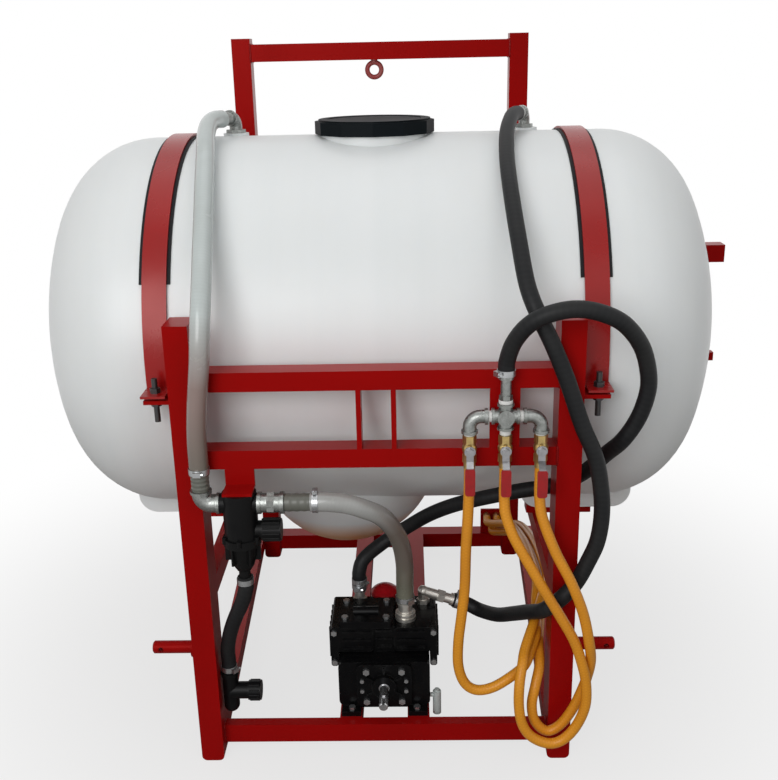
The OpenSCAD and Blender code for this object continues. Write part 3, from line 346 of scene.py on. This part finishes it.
def ramp_value(tree, mask, low, high):
    """A number from low to high as the mask goes from 0 to 1."""
    made = add(tree, "ShaderNodeMapRange", To_Min=low, To_Max=high)
    tree.links.new(mask, made.inputs["Value"])
    return made.outputs["Result"]


def new_finish(name):
    made = bpy.data.materials.new(name)
    made.use_nodes = True
    tree = made.node_tree
    return made, tree, tree.nodes["Principled BSDF"]


def feed(tree, shader, **values):
    """Links a socket to the shader's input, or sets the input to a plain value."""
    for name, value in values.items():
        entry = shader.inputs[name.replace("_", " ")]
        if isinstance(value, bpy.types.NodeSocket):
            tree.links.new(value, entry)
        else:
            entry.default_value = value


def bump(tree, shader, height, strength, distance):
    made = add(tree, "ShaderNodeBump", Strength=strength, Distance=distance)
    tree.links.new(height, made.inputs["Height"])
    tree.links.new(made.outputs["Normal"], shader.inputs["Normal"])


print("finish helpers ready")

# %% Worn finish
def worn_finish(name, base, dust, bare, rough, patch, dirt, wear, grain, metal=0.0, depth=0.00005,
                radius=0.003, shine=0.5, tint=(1, 1, 1)):
    """A base colour with dust on it, bare edges, and a roughness that goes up with the dust."""
    made, tree, shader = new_finish(name)
    grime = use(tree, GRIME, Scale=patch, Amount=dirt)
    edges = use(tree, EDGES, Radius=radius, Amount=wear)
    fine = use(tree, GRAIN, Scale=grain)
    dirty = blend_colour(tree, grime.outputs["Mask"], base, dust)
    feed(tree, shader, Base_Color=blend_colour(tree, edges.outputs["Mask"], dirty, bare),
         Roughness=ramp_value(tree, grime.outputs["Mask"], *rough), Metallic=metal,
         Specular_IOR_Level=shine, Specular_Tint=(*tint, 1))
    bump(tree, shader, fine.outputs["Height"], strength=.5, distance=depth)
    return made


print("worn finish ready")

# %% [markdown]
# ## Paint, metal and plastic
# The frame is sprayed a deep gloss red that has thinned to dark primer on its edges; the straps and the
# lifting eye are redder and paler where they rub. A red tint in the reflection keeps the paint deep under a
# white sky. The pump is cast aluminium under black paint, and the filter and lid are black moulded plastic.
# The clamps and bolts are zinc plated. Each of these is the same worn finish with numbers of its own, which
# keeps the parts of one family alike.

# %% Paints
PAINT = worn_finish("frame_paint", base=(.32, .003, .003), dust=(.21, .004, .003), bare=(.12, .010, .008),
                    rough=(.28, .46), patch=4, dirt=.4, wear=.55, grain=170, depth=.00008, shine=.2,
                    tint=(1, .14, .12))
STRAP_PAINT = worn_finish("strap_paint", base=(.32, .004, .004), dust=(.24, .010, .009), bare=(.34, .08, .07),
                          rough=(.26, .44), patch=7, dirt=.5, wear=.5, grain=170, depth=.00008, shine=.45,
                          tint=(1, .7, .68))
RING_PAINT = worn_finish("worn_ring_paint", base=(.30, .03, .03), dust=(.36, .15, .13), bare=(.60, .48, .44),
                         rough=(.35, .55), patch=60, dirt=.8, wear=.9, grain=300, depth=.0001, radius=.006,
                         shine=.3)
PUMP_RED = worn_finish("air_chamber_paint", base=(.34, .006, .010), dust=(.22, .010, .010),
                       bare=(.20, .02, .02), rough=(.25, .4), patch=20, dirt=.3, wear=.4, grain=300,
                       shine=.2, tint=(1, .25, .22))
PUMP_BLACK = worn_finish("pump_paint", base=(.003, .003, .0035), dust=(.010, .010, .009), bare=(.05, .05, .05),
                         rough=(.24, .45), patch=14, dirt=.4, wear=.5, grain=260, depth=.00012, radius=.004,
                         shine=.10)
print("paints:", PAINT.name, STRAP_PAINT.name, RING_PAINT.name, PUMP_RED.name, PUMP_BLACK.name)

# %% Plastic, rubber and tape
PLASTIC = worn_finish("black_plastic", base=(.0035, .0035, .004), dust=(.010, .010, .009),
                      bare=(.035, .035, .035), rough=(.34, .55), patch=10, dirt=.45, wear=.4, grain=520,
                      depth=.00006, shine=.12)
LID_PLASTIC = worn_finish("lid_plastic", base=(.003, .005, .0065), dust=(.008, .010, .011),
                          bare=(.022, .024, .026), rough=(.5, .7), patch=8, dirt=.4, wear=.35, grain=420,
                          depth=.0001, shine=.07)
TAIL = worn_finish("barbed_tail", base=(.085, .083, .070), dust=(.060, .058, .048), bare=(.13, .13, .11),
                   rough=(.32, .5), patch=18, dirt=.4, wear=.4, grain=420, shine=.3)
RUBBER = worn_finish("black_rubber", base=(.010, .010, .012), dust=(.030, .029, .028), bare=(.03, .03, .03),
                     rough=(.6, .8), patch=12, dirt=.5, wear=.2, grain=600, depth=.00008, shine=.16)
TAPE = worn_finish("thread_tape", base=(.80, .80, .78), dust=(.60, .59, .55), bare=(.84, .84, .82),
                   rough=(.5, .7), patch=90, dirt=.4, wear=.2, grain=1200, depth=.0002, radius=.001, shine=.3)
print("plastics:", PLASTIC.name, LID_PLASTIC.name, TAIL.name, RUBBER.name, TAPE.name)

# %% Metals
DARK_STEEL = worn_finish("dark_steel", base=(.05, .05, .052), dust=(.09, .075, .065), bare=(.22, .22, .22),
                         rough=(.4, .6), metal=.7, patch=40, dirt=.5, wear=.4, grain=700, depth=.00004,
                         radius=.0015)
ZINC = worn_finish("zinc_plate", base=(.44, .45, .46), dust=(.24, .24, .23), bare=(.66, .66, .66),
                   rough=(.26, .46), metal=.9, patch=24, dirt=.5, wear=.4, grain=800, depth=.00003,
                   radius=.0015)
BRASS = worn_finish("valve_brass", base=(.52, .38, .15), dust=(.30, .21, .085), bare=(.70, .56, .31),
                    rough=(.28, .46), metal=.9, patch=60, dirt=.6, wear=.5, grain=700, depth=.00003,
                    radius=.0015)
STEEL = worn_finish("turned_steel", base=(.46, .46, .47), dust=(.27, .27, .27), bare=(.68, .68, .68),
                    rough=(.25, .42), metal=.95, patch=30, dirt=.45, wear=.4, grain=900, depth=.00002,
                    radius=.0015)
PLATED = worn_finish("bright_plate", base=(.60, .58, .54), dust=(.34, .33, .30), bare=(.74, .72, .68),
                     rough=(.3, .5), metal=.8, patch=30, dirt=.5, wear=.5, grain=700, depth=.00004,
                     radius=.002)
print("metals:", DARK_STEEL.name, ZINC.name, BRASS.name, STEEL.name, PLATED.name)

# %% [markdown]
# The pipe fittings are hot galvanised. Their zinc sets in crystals, each with its own shade. Plain noise has
# no such borders, so a Voronoi texture is used: its cells give every crystal a colour, which drives the shade
# and the roughness.

# %% Galvanised finish
def galvanised():
    made, tree, shader = new_finish("galvanised_iron")
    place = add(tree, "ShaderNodeTexCoord")
    flake = add(tree, "ShaderNodeTexVoronoi", Scale=240.0)
    shade = add(tree, "ShaderNodeSeparateColor")
    wire(tree, (place, "Object", flake, "Vector"), (flake, "Color", shade, "Color"))
    grime = use(tree, GRIME, Scale=22, Amount=.5)
    edges = use(tree, EDGES, Radius=.002, Amount=.5)
    fine = use(tree, GRAIN, Scale=500)
    spangle = blend_colour(tree, shade.outputs["Red"], (.23, .241, .23), (.33, .341, .33))
    dirty = blend_colour(tree, grime.outputs["Mask"], spangle, (.165, .176, .158))
    feed(tree, shader, Base_Color=blend_colour(tree, edges.outputs["Mask"], dirty, (.46, .47, .46)),
         Roughness=ramp_value(tree, shade.outputs["Green"], low=.26, high=.46), Metallic=.85)
    bump(tree, shader, fine.outputs["Height"], strength=.4, distance=.00006)
    return made


GALVANISED = galvanised()
print("made", GALVANISED.name)

# %% [markdown]
# A valve lever is a plated bar whose grip was dipped in red plastic. The grip is part of the same solid, so
# the material tells them apart by height: the lowest 58 mm of the lever at rest are the grip.

# %% Lever finish
GRIP_LENGTH, GRIP_EDGE = .058, .0005


def lever_finish():
    made, tree, shader = new_finish("valve_lever")
    grip_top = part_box("lever_left")[0].z + GRIP_LENGTH
    place = add(tree, "ShaderNodeTexCoord")
    split = add(tree, "ShaderNodeSeparateXYZ")
    grip = add(tree, "ShaderNodeMapRange", From_Min=grip_top + GRIP_EDGE, From_Max=grip_top - GRIP_EDGE)
    wire(tree, (place, "Object", split, "Vector"), (split, "Z", grip, "Value"))
    grime = use(tree, GRIME, Scale=70, Amount=.5)
    edges = use(tree, EDGES, Radius=.002, Amount=.5)
    fine = use(tree, GRAIN, Scale=700)
    dip = blend_colour(tree, grime.outputs["Mask"], (.36, .012, .014), (.20, .018, .018))
    worn = blend_colour(tree, edges.outputs["Mask"], dip, (.56, .18, .16))
    bare = blend_colour(tree, grime.outputs["Mask"], (.36, .36, .37), (.18, .17, .17))
    feed(tree, shader, Base_Color=blend_colour(tree, grip.outputs["Result"], bare, worn),
         Metallic=ramp_value(tree, grip.outputs["Result"], low=.85, high=0),
         Roughness=ramp_value(tree, grime.outputs["Mask"], low=.3, high=.5), Specular_IOR_Level=.3)
    bump(tree, shader, fine.outputs["Height"], strength=.5, distance=.00006)
    return made


LEVER_PAINT = lever_finish()
print("made", LEVER_PAINT.name)

# %% [markdown]
# ## Tank
# The tank is rotation-moulded polyethylene: milky, a little see-through, with faint upright bands where the
# mould's heat varied. Its sump is coloured a darker warm orange-brown near the bottom, as painted shade on the
# underside. A clear shell over a filled inside could be modelled, but it renders slowly. Subsurface light
# gives the milky depth, and the bands and the painted shade read the object's own coordinates, so they stay in
# place on the tank.

# %% Tank finish
# Painted shade on the bottom of the sump sets in between these two heights.
SUMP_SHADE_FULL, SUMP_SHADE_END = .055, .115  # heights above the bottom of the sump


def tank_skin():
    made, tree, shader = new_finish("tank_plastic")
    sump_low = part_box("tank")[0].z
    place = add(tree, "ShaderNodeTexCoord")
    split = add(tree, "ShaderNodeSeparateXYZ")
    band = add(tree, "ShaderNodeTexNoise", noise_dimensions="1D", Scale=16.0, Detail=2.0)
    low = add(tree, "ShaderNodeMapRange", From_Min=sump_low + SUMP_SHADE_FULL, From_Max=sump_low + SUMP_SHADE_END,
              To_Min=1.0, To_Max=0.0)
    wire(tree, (place, "Object", split, "Vector"), (split, "X", band, "W"), (split, "Z", low, "Value"))
    grime = use(tree, GRIME, Scale=2.2, Amount=.35)
    fine = use(tree, GRAIN, Scale=90)
    milk = blend_colour(tree, band.outputs["Fac"], (.84, .86, .86), (.79, .82, .82))
    dull = blend_colour(tree, grime.outputs["Mask"], milk, (.75, .76, .75))
    # Painted shade: the sump turns a darker warm orange-brown towards its bottom.
    feed(tree, shader, Base_Color=blend_colour(tree, low.outputs["Result"], dull, (.78, .40, .18)),
         Roughness=ramp_value(tree, grime.outputs["Mask"], low=.38, high=.55), Subsurface_Weight=.2,
         Subsurface_Radius=(.03, .028, .025), Subsurface_Scale=.3)
    bump(tree, shader, fine.outputs["Height"], strength=.35, distance=.0003)
    return made


TANK_SKIN = tank_skin()
print("made", TANK_SKIN.name)

# %% [markdown]
# ## Hose surfaces
# The clear hoses show the faint spiral that stiffens them, the rubber ones the wrapping that they were cured
# in, and the yellow ones a woven braid. Flat UV maps would stretch on the bends, so the marks are waves of the
# run and ring attributes: one spiral, or two that cross. The clear hoses are opaque, so what shows through the
# real ones is painted in: a pale base for the white tank, darker tints along the run for dark parts behind,
# and for the lower hose a darker copy as painted shade under the tank, partly dirt.

# %% Hose pattern
def hose_pattern():
    """Marks that follow a hose: a spiral round it, and two crossing spirals that make a braid."""
    tree, start, end, _ = new_tree("ShaderNodeTree", "Hose pattern", [
        ("NodeSocketFloat", "Pitch", 0.006), ("NodeSocketFloat", "Starts", 1.0)],
        [("NodeSocketFloat", "Spiral"), ("NodeSocketFloat", "Braid")])
    ring = add(tree, "ShaderNodeAttribute", attribute_name="ring")
    run = add(tree, "ShaderNodeAttribute", attribute_name="run")
    split = add(tree, "ShaderNodeSeparateXYZ")
    angle = add(tree, "ShaderNodeMath", operation="ARCTAN2")
    turn = add(tree, "ShaderNodeMath", operation="MULTIPLY")
    along = add(tree, "ShaderNodeMath", operation="DIVIDE")
    whole = add(tree, "ShaderNodeMath", operation="MULTIPLY")
    whole.inputs[1].default_value = 2 * math.pi
    cross = add(tree, "ShaderNodeMath", operation="MAXIMUM")
    wire(tree, (ring, "Vector", split, "Vector"), (split, "Y", angle, 0), (split, "X", angle, 1),
         (angle, "Value", turn, 0), (start, "Starts", turn, 1), (run, "Fac", along, 0),
         (start, "Pitch", along, 1), (along, "Value", whole, 0), (cross, "Value", end, "Braid"))
    for k, sense in enumerate(("ADD", "SUBTRACT")):
        both = add(tree, "ShaderNodeMath", operation=sense)
        wave = add(tree, "ShaderNodeMath", operation="SINE")
        mark = add(tree, "ShaderNodeMapRange", From_Min=-1.0, From_Max=1.0)
        wire(tree, (whole, "Value", both, 0), (turn, "Value", both, 1), (both, "Value", wave, 0),
             (wave, "Value", mark, "Value"), (mark, "Result", cross, k))
        if sense == "ADD":
            wire(tree, (mark, "Result", end, "Spiral"))
    return tree


PATTERN = hose_pattern()
print("made", PATTERN.name)

# %% Hose finishes
def hose_finish(name, base, mark, dust, rough, pitch, starts, output, patch, dirt, depth, coat=0.0, shine=0.5,
                painted_darkening=()):
    """The last argument gives painted darkening along the hose: the distances where each sets in and is full,
    and its colour.
    """
    made, tree, shader = new_finish(name)
    pattern = use(tree, PATTERN, Pitch=pitch, Starts=starts)
    grime = use(tree, GRIME, Scale=patch, Amount=dirt)
    body = blend_colour(tree, pattern.outputs[output], base, mark)
    worn = blend_colour(tree, grime.outputs["Mask"], body, dust)
    # Each darkening along the run is painted in: dark parts seen through the clear wall, and shade under the
    # tank.
    for first, last, colour in painted_darkening:
        run = add(tree, "ShaderNodeAttribute", attribute_name="run")
        reach = add(tree, "ShaderNodeMapRange", From_Min=first, From_Max=last)
        wire(tree, (run, "Fac", reach, "Value"))
        worn = blend_colour(tree, reach.outputs["Result"], worn, colour)
    feed(tree, shader, Base_Color=worn, Roughness=ramp_value(tree, grime.outputs["Mask"], *rough),
         Coat_Weight=coat, Specular_IOR_Level=shine)
    bump(tree, shader, pattern.outputs[output], strength=.4, distance=depth)
    return made


SUCTION = dict(rough=(.22, .4), pitch=.007, starts=1, output="Spiral", patch=9, dirt=.4, depth=.00001, coat=.2)
# Painted light: the pale base stands for the white tank seen through the upper hose, and its two tints near
# the lower end stand for dark parts behind it.
CLEAR_HOSE = hose_finish("clear_suction_hose", base=(.52, .57, .56), mark=(.505, .555, .545),
                         dust=(.40, .43, .41), **SUCTION,
                         painted_darkening=((.66, .80, (.26, .185, .165)), (.84, .97, (.155, .130, .105))))
# Painted shade, partly dirt: a darker copy of the clear hose for the lower suction hose under the tank, with
# painted darkening along its run.
SHADED_DIRTY_HOSE = hose_finish("shaded_dirty_suction_hose", base=(.38, .385, .375), mark=(.37, .375, .365),
                           dust=(.24, .24, .22), **SUCTION,
                           painted_darkening=((.12, .23, (.20, .175, .150)), (.34, .46, (.150, .150, .112))))
BLACK_HOSE = hose_finish("wrapped_rubber_hose", base=(.008, .0085, .0095), mark=(.0105, .011, .012),
                         dust=(.024, .024, .023), rough=(.48, .7), pitch=.012, starts=1, output="Spiral",
                         patch=9, dirt=.5, depth=.00015, shine=.2)
YELLOW_HOSE = hose_finish("braided_spray_hose", base=(.80, .34, .022), mark=(.72, .28, .016),
                          dust=(.56, .20, .014), rough=(.3, .48), pitch=.007, starts=5, output="Braid",
                          patch=6, dirt=.55, depth=.0001, coat=.05, shine=.25)
print("hose finishes:", CLEAR_HOSE.name, SHADED_DIRTY_HOSE.name, BLACK_HOSE.name, YELLOW_HOSE.name)

# %% Lay the hoses
# The lower suction hose takes the darker copy, which is painted shade, partly dirt.
HOSE_FINISH = {"suction": ("clear_hose", CLEAR_HOSE), "suction_hose_lower": ("clear_hose", SHADED_DIRTY_HOSE),
               "drain": ("black_hose", BLACK_HOSE), "return": ("black_hose", BLACK_HOSE),
               "pressure": ("black_hose", BLACK_HOSE), "spray": ("yellow_hose", YELLOW_HOSE)}
for node, (width, points) in ROUTES.items():
    slot_name, finish = HOSE_FINISH.get(node) or HOSE_FINISH[node.split("_")[0]]
    line = smooth_line(points)
    length = sum((b - a).length for a, b in zip(line, line[1:]))
    hose = sweep_hose(node + "_tube", width / 2, line, finish)
    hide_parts(node)
    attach(hose, "frame")
    print(hose.name, "length", round(length, 3), "m")

# %% [markdown]
# The two suction hoses are pushed on barbed tails, and a tight sleeve of dark, stained tube covers each tail.
# A plain tube would hide the barbs that press through it, so each sleeve is turned from a profile: distances
# from the fitting and radii, with a faint swelling over every barb. The profile is closed, so the sleeve has
# an inside and two end faces.

# %% Turned sleeves
SLEEVE_IN, SLEEVE_OUT, ROUNDED_END, SWELL = .0164, .0183, .0006, .0004
BARBS, FIRST_BARB = 3.5, .694
PROFILE_STEPS, ROUNDS = 36, 48


def sleeve_profile(length):
    """Distance and radius pairs, out along the skin and back along the bore."""
    skin = [(0, SLEEVE_OUT - ROUNDED_END)]
    for k in range(1, PROFILE_STEPS):
        swell = SWELL * math.cos(2 * math.pi * (BARBS * k / PROFILE_STEPS - FIRST_BARB))
        skin.append((length * k / PROFILE_STEPS, SLEEVE_OUT + swell))
    return skin + [(length, SLEEVE_OUT - ROUNDED_END), (length, SLEEVE_IN), (0, SLEEVE_IN)]


def turned(start, along, profile):
    """Corners and faces of a closed profile turned round the line from start."""
    side = along.orthogonal().normalized()
    other = along.cross(side)
    spots, faces = [], []
    for reach, radius in profile:
        for k in range(ROUNDS):
            turn = 2 * math.pi * k / ROUNDS
            spots.append(start + along * reach + (side * math.cos(turn) + other * math.sin(turn)) * radius)
    for row in range(len(profile)):
        after = (row + 1) % len(profile)
        for k in range(ROUNDS):
            step = (k + 1) % ROUNDS
            faces.append(tuple(r * ROUNDS + c for r, c in ((row, k), (row, step), (after, step), (after, k))))
    return spots, faces


print("profile points:", len(sleeve_profile(1)))

# %% Sleeves at the suction fittings
SLEEVE = worn_finish("hose_end_sleeve", base=(.135, .138, .118), dust=(.085, .084, .070), bare=(.22, .22, .19),
                     rough=(.3, .48), patch=26, dirt=.5, wear=.4, grain=420, shine=.4)
# Where the hose ends on its tail, the way that it leaves, and the length of the sleeve.
SLEEVES = ((ROUTES["suction_hose_upper"][1][-1], Vector((0, 0, 1)), .033),
           (ROUTES["suction_hose_lower"][1][0], Vector((1, 0, 0)), .053))
spots, faces = [], []
for tail_end, along, length in SLEEVES:
    more_spots, more_faces = turned(Vector(tail_end) - along * length, along, sleeve_profile(length))
    faces += [tuple(len(spots) + k for k in face) for face in more_faces]
    spots += more_spots
sleeve_mesh = bpy.data.meshes.new("hose_end_sleeves")
sleeve_mesh.from_pydata(spots, [], faces)
sleeve_mesh.polygons.foreach_set("use_smooth", [True] * len(faces))
sleeve_mesh.materials.append(SLEEVE)
sleeves = bpy.data.objects.new("hose_end_sleeves", sleeve_mesh)
bpy.context.scene.collection.objects.link(sleeves)
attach(sleeves, "frame")
print("sleeve faces:", len(faces))

# %% [markdown]
# ## Thread tape and welds
# Two small things tell that the frame was welded and the pipework screwed together. White tape shows as a
# ring at each pipe thread. Six rings could be placed by hand; a tree puts one thin, wrinkled band on every
# point instead, turned and sized by the point's own attributes. The weld beads use the hose tree again, on
# closed loops round the ends of the cross bars.

# %% Tape tree
def tape_tree():
    tree, start, end, keys = new_tree("GeometryNodeTree", "Tape rings", [
        ("NodeSocketGeometry", "Points"), ("NodeSocketMaterial", "Finish")],
        [("NodeSocketGeometry", "Rings")])
    band = add(tree, "GeometryNodeMeshCylinder", fill_type="NGON", Vertices=40, Side_Segments=4, Radius=1.0,
               Depth=1.0)
    wrinkle = add(tree, "ShaderNodeTexNoise", Scale=3.5, Detail=2.0)
    swell = add(tree, "ShaderNodeMapRange", To_Min=.97, To_Max=1.05)
    place = add(tree, "GeometryNodeInputPosition")
    wide = add(tree, "ShaderNodeVectorMath", operation="MULTIPLY")
    both = add(tree, "ShaderNodeCombineXYZ", Z=1.0)
    shape = add(tree, "GeometryNodeSetPosition")
    axis = add(tree, "GeometryNodeInputNamedAttribute", data_type="FLOAT_VECTOR", Name="axis")
    size = add(tree, "GeometryNodeInputNamedAttribute", data_type="FLOAT_VECTOR", Name="size")
    turn = add(tree, "FunctionNodeAlignRotationToVector", axis="Z")
    stand = add(tree, "GeometryNodeInstanceOnPoints")
    real = add(tree, "GeometryNodeRealizeInstances")
    smooth = add(tree, "GeometryNodeSetShadeSmooth")
    paint = add(tree, "GeometryNodeSetMaterial")
    wire(tree, (wrinkle, "Fac", swell, "Value"), (swell, "Result", both, "X"), (swell, "Result", both, "Y"),
         (place, "Position", wide, 0), (both, "Vector", wide, 1), (band, "Mesh", shape, "Geometry"),
         (wide, "Vector", shape, "Position"), (axis, "Attribute", turn, "Vector"),
         (start, "Points", stand, "Points"), (shape, "Geometry", stand, "Instance"),
         (turn, "Rotation", stand, "Rotation"), (size, "Attribute", stand, "Scale"),
         (stand, "Instances", real, "Geometry"), (real, "Geometry", smooth, "Geometry"),
         (smooth, "Geometry", paint, "Geometry"), (start, "Finish", paint, "Material"),
         (paint, "Geometry", end, "Rings"))
    return tree, keys


TAPE_TREE, TAPE_KEYS = tape_tree()
print("tape tree:", len(TAPE_TREE.nodes), "nodes")

# %% Thread tape
CROSS_ARM = .027
inlet = ROUTES["pressure_hose"][1][-1]
cross = Vector((inlet[0], inlet[1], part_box("manifold_cross")[1].z - CROSS_ARM))
UPRIGHT, ACROSS = (0, 0, 1), (1, 0, 0)
# Each ring's place from the middle of the cross, its direction, radius and width.
RINGS = [((0, 0, .031), UPRIGHT, .0139, .0075), ((0, 0, -.033), UPRIGHT, .0110, .010),
         ((.031, 0, 0), ACROSS, .0111, .0078), ((-.031, 0, 0), ACROSS, .0111, .0078),
         ((.0705, 0, -.0365), UPRIGHT, .0111, .0045), ((-.0705, 0, -.0365), UPRIGHT, .0111, .0045)]
points = bpy.data.meshes.new("tape_points")
points.from_pydata([cross + Vector(offset) for offset, _, _, _ in RINGS], [], [])
for title, rows in (("axis", [r[1] for r in RINGS]), ("size", [(r[2], r[2], r[3]) for r in RINGS])):
    values = points.attributes.new(title, "FLOAT_VECTOR", "POINT")
    for item, row in zip(values.data, rows):
        item.vector = row
tape = mesh_from_nodes("thread_tape", points, TAPE_TREE, {TAPE_KEYS["Finish"]: TAPE})
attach(tape, "frame")
print("tape rings:", len(RINGS))

# %% Weld beads
WELD = hose_finish("painted_weld", base=(.29, .004, .004), mark=(.22, .004, .004), dust=(.17, .006, .005),
                   rough=(.3, .48), pitch=.004, starts=0, output="Spiral", patch=20, dirt=.35, depth=.0005,
                   shine=.12)
BEAD_RADIUS, BEAD_SIDES, BEAD_STEP = .0026, 8, .006
WANDER, WANDER_TURN = .0006, 2.4


def bead_loop(low, high, x):
    """Points round the end of a cross bar, a little uneven, as a hand-laid bead is."""
    corners = [(low.y, low.z), (high.y, low.z), (high.y, high.z), (low.y, high.z)]
    loop = []
    for (y0, z0), (y1, z1) in zip(corners, corners[1:] + corners[:1]):
        steps = max(3, round(math.hypot(y1 - y0, z1 - z0) / BEAD_STEP))
        for k in range(steps):
            t = k / steps
            aside = WANDER * math.sin(WANDER_TURN * len(loop))
            loop.append((x + aside, y0 + (y1 - y0) * t, z0 + (z1 - z0) * t))
    return loop


spots, edges = [], []
for node in ("front_upper_bar", "front_lower_bar", "front_bottom_bar", "rear_bottom_bar", "arch_bar"):
    low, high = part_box(node)
    for x in (low.x, high.x):
        loop = bead_loop(low, high, x)
        first = len(spots)
        spots += loop
        edges += [(first + k, first + (k + 1) % len(loop)) for k in range(len(loop))]
seams = bpy.data.meshes.new("weld_lines")
seams.from_pydata(spots, edges, [])
welds = mesh_from_nodes("weld_beads", seams, HOSE_TREE, {
    HOSE_KEYS["Radius"]: BEAD_RADIUS, HOSE_KEYS["Sides"]: BEAD_SIDES, HOSE_KEYS["Finish"]: WELD})
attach(welds, "frame")
print("weld beads:", len(spots), "points")

# %% [markdown]
# ## Finishes on the model's own parts
# The rigid parts keep their exact shapes, and only their materials are new. Each one takes the finish of its
# record slot, apart from four that have a finish of their own.

# %% Finish the rigid parts
SLOT_FINISH = {"frame_red": PAINT, "zinc": ZINC, "tank_white": TANK_SKIN, "black_plastic": PLASTIC,
               "black_rubber": RUBBER, "galvanised": GALVANISED, "steel_shaft": STEEL, "dark_tail": TAIL,
               "pump_black": PUMP_BLACK, "pump_red": PUMP_RED, "brass": BRASS, "lever_red": LEVER_PAINT,
               "oil_cup": CLEAR_HOSE, "dark_steel": DARK_STEEL,
               "clear_hose": CLEAR_HOSE, "black_hose": BLACK_HOSE, "yellow_hose": YELLOW_HOSE}
NODE_FINISH = {"lid": LID_PLASTIC, "tank_straps": STRAP_PAINT, "lifting_eye": RING_PAINT,
               "pump_fittings": PLATED}
for part in frame["record"]["subparts"]:
    shown = frame["nodes"][part["node"]].data
    shown.materials.clear()
    shown.materials.append(NODE_FINISH.get(part["node"], SLOT_FINISH[part["material_slot"]]))

# %% [markdown]
# ## Studio
# The photograph's object is cut out on white. A bent backdrop sheet would give that; here the floor is flat,
# and for the camera its far part fades to plain white, so no horizon shows and the shadow under the object
# stays. Reflections and glass see the white floor too, but only further out: the floor close by is shaded by
# the object, and white there would lay a pale veil on every glossy side.

# %% Floor
scene = bpy.context.scene
scene.view_settings.view_transform = "Standard"
FLOOR_HALF = 30
# For each kind of ray, where the white sets in and is full, in metres, and how white it is near by.
FLOOR_FADE = {"Is Camera Ray": (.5, 1.8, .72), "Is Glossy Ray": (1.2, 3.0, 0),
              "Is Transmission Ray": (1.2, 3.0, 0)}


def largest(tree, values):
    """The largest of some values."""
    total = values[0]
    for value in values[1:]:
        more = add(tree, "ShaderNodeMath", operation="MAXIMUM")
        tree.links.new(total, more.inputs[0])
        tree.links.new(value, more.inputs[1])
        total = more.outputs["Value"]
    return total


def floor_finish():
    made = bpy.data.materials.new("pale_floor")
    made.use_nodes = True
    tree = made.node_tree
    tree.nodes.clear()
    place = add(tree, "ShaderNodeTexCoord")
    far = add(tree, "ShaderNodeVectorMath", operation="LENGTH")
    near = add(tree, "ShaderNodeBsdfDiffuse", Color=(.42, .41, .40, 1))
    white = add(tree, "ShaderNodeEmission", Strength=1.0)
    rays = add(tree, "ShaderNodeLightPath")
    mix = add(tree, "ShaderNodeMixShader")
    out = add(tree, "ShaderNodeOutputMaterial")
    wire(tree, (place, "Object", far, 0), (near, "BSDF", mix, 1), (white, "Emission", mix, 2),
         (mix, "Shader", out, "Surface"))
    shares = []
    for kind, (first, last, least) in FLOOR_FADE.items():
        fade = add(tree, "ShaderNodeMapRange", From_Min=first, From_Max=last, To_Min=least,
                   interpolation_type="SMOOTHSTEP")
        share = add(tree, "ShaderNodeMath", operation="MULTIPLY")
        wire(tree, (far, "Value", fade, "Value"), (fade, "Result", share, 0), (rays, kind, share, 1))
        shares.append(share.outputs["Value"])
    tree.links.new(largest(tree, shares), mix.inputs["Fac"])
    return made


floor_mesh = bpy.data.meshes.new("studio_floor")
floor_mesh.from_pydata([(x * FLOOR_HALF, y * FLOOR_HALF, 0) for x, y in ((-1, -1), (1, -1), (1, 1), (-1, 1))],
                       [], [(0, 1, 2, 3)])
floor_mesh.materials.append(floor_finish())
floor = bpy.data.objects.new("studio_floor", floor_mesh)
scene.collection.objects.link(floor)
floor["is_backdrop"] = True
print("floor:", 2 * FLOOR_HALF, "m wide")

# %% [markdown]
# The surround is white to the camera, in reflections and through glass. For the light that falls on things it
# is a dome, weak at the horizon and stronger overhead, as open sky is. An even white world would be simpler,
# but it takes the shade from sides and undersides.

# %% Surround
HORIZON_LIGHT, ZENITH_LIGHT = .15, .50
surround = bpy.data.worlds.new("studio_surround")
surround.use_nodes = True
sky = surround.node_tree
glow = sky.nodes["Background"]
glow.inputs["Color"].default_value = (1, 1, 1, 1)
aim = add(sky, "ShaderNodeTexCoord")
height = add(sky, "ShaderNodeSeparateXYZ")
rays = add(sky, "ShaderNodeLightPath")
shown = add(sky, "ShaderNodeMix", data_type="FLOAT")
shown.inputs["B"].default_value = 1.0
wire(sky, (aim, "Generated", height, "Vector"), (shown, "Result", glow, "Strength"))
sky.links.new(ramp_value(sky, height.outputs["Z"], HORIZON_LIGHT, ZENITH_LIGHT), shown.inputs["A"])
sky.links.new(largest(sky, [rays.outputs[kind] for kind in FLOOR_FADE]), shown.inputs["Factor"])
scene.world = surround
print("made", surround.name)

# %% [markdown]
# Three soft lamps shape the object: a key from the left front, a weak fill from the right, and one overhead
# for the top of the tank. Area lamps are used because large lamps give the soft shadows of a cloudy day.

# %% Lamps
LAMP_AIM = (0, 0, .8)


def soft_lamp(name, place, size, power):
    """A square lamp turned to the middle of the object; its side in metres, its power in watts."""
    lamp = bpy.data.lights.new(name, "AREA")
    lamp.size = size
    lamp.energy = power
    made = bpy.data.objects.new(name, lamp)
    made.location = place
    made.rotation_euler = (Vector(LAMP_AIM) - Vector(place)).to_track_quat("-Z", "Y").to_euler()
    scene.collection.objects.link(made)
    print(name, power, "W")


soft_lamp("key_lamp", (-1.3, -3.9, 2.4), size=2.4, power=82)
soft_lamp("fill_lamp", (2.2, -3.4, 3.0), size=2.4, power=14)
soft_lamp("top_lamp", (0, .2, 4.2), size=3.0, power=20)

# %% [markdown]
# The looks must not change the size. The shown model's box is printed.

# %% Size and finish
low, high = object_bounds()
print("shown box:", [round(v, 3) for v in high - low])
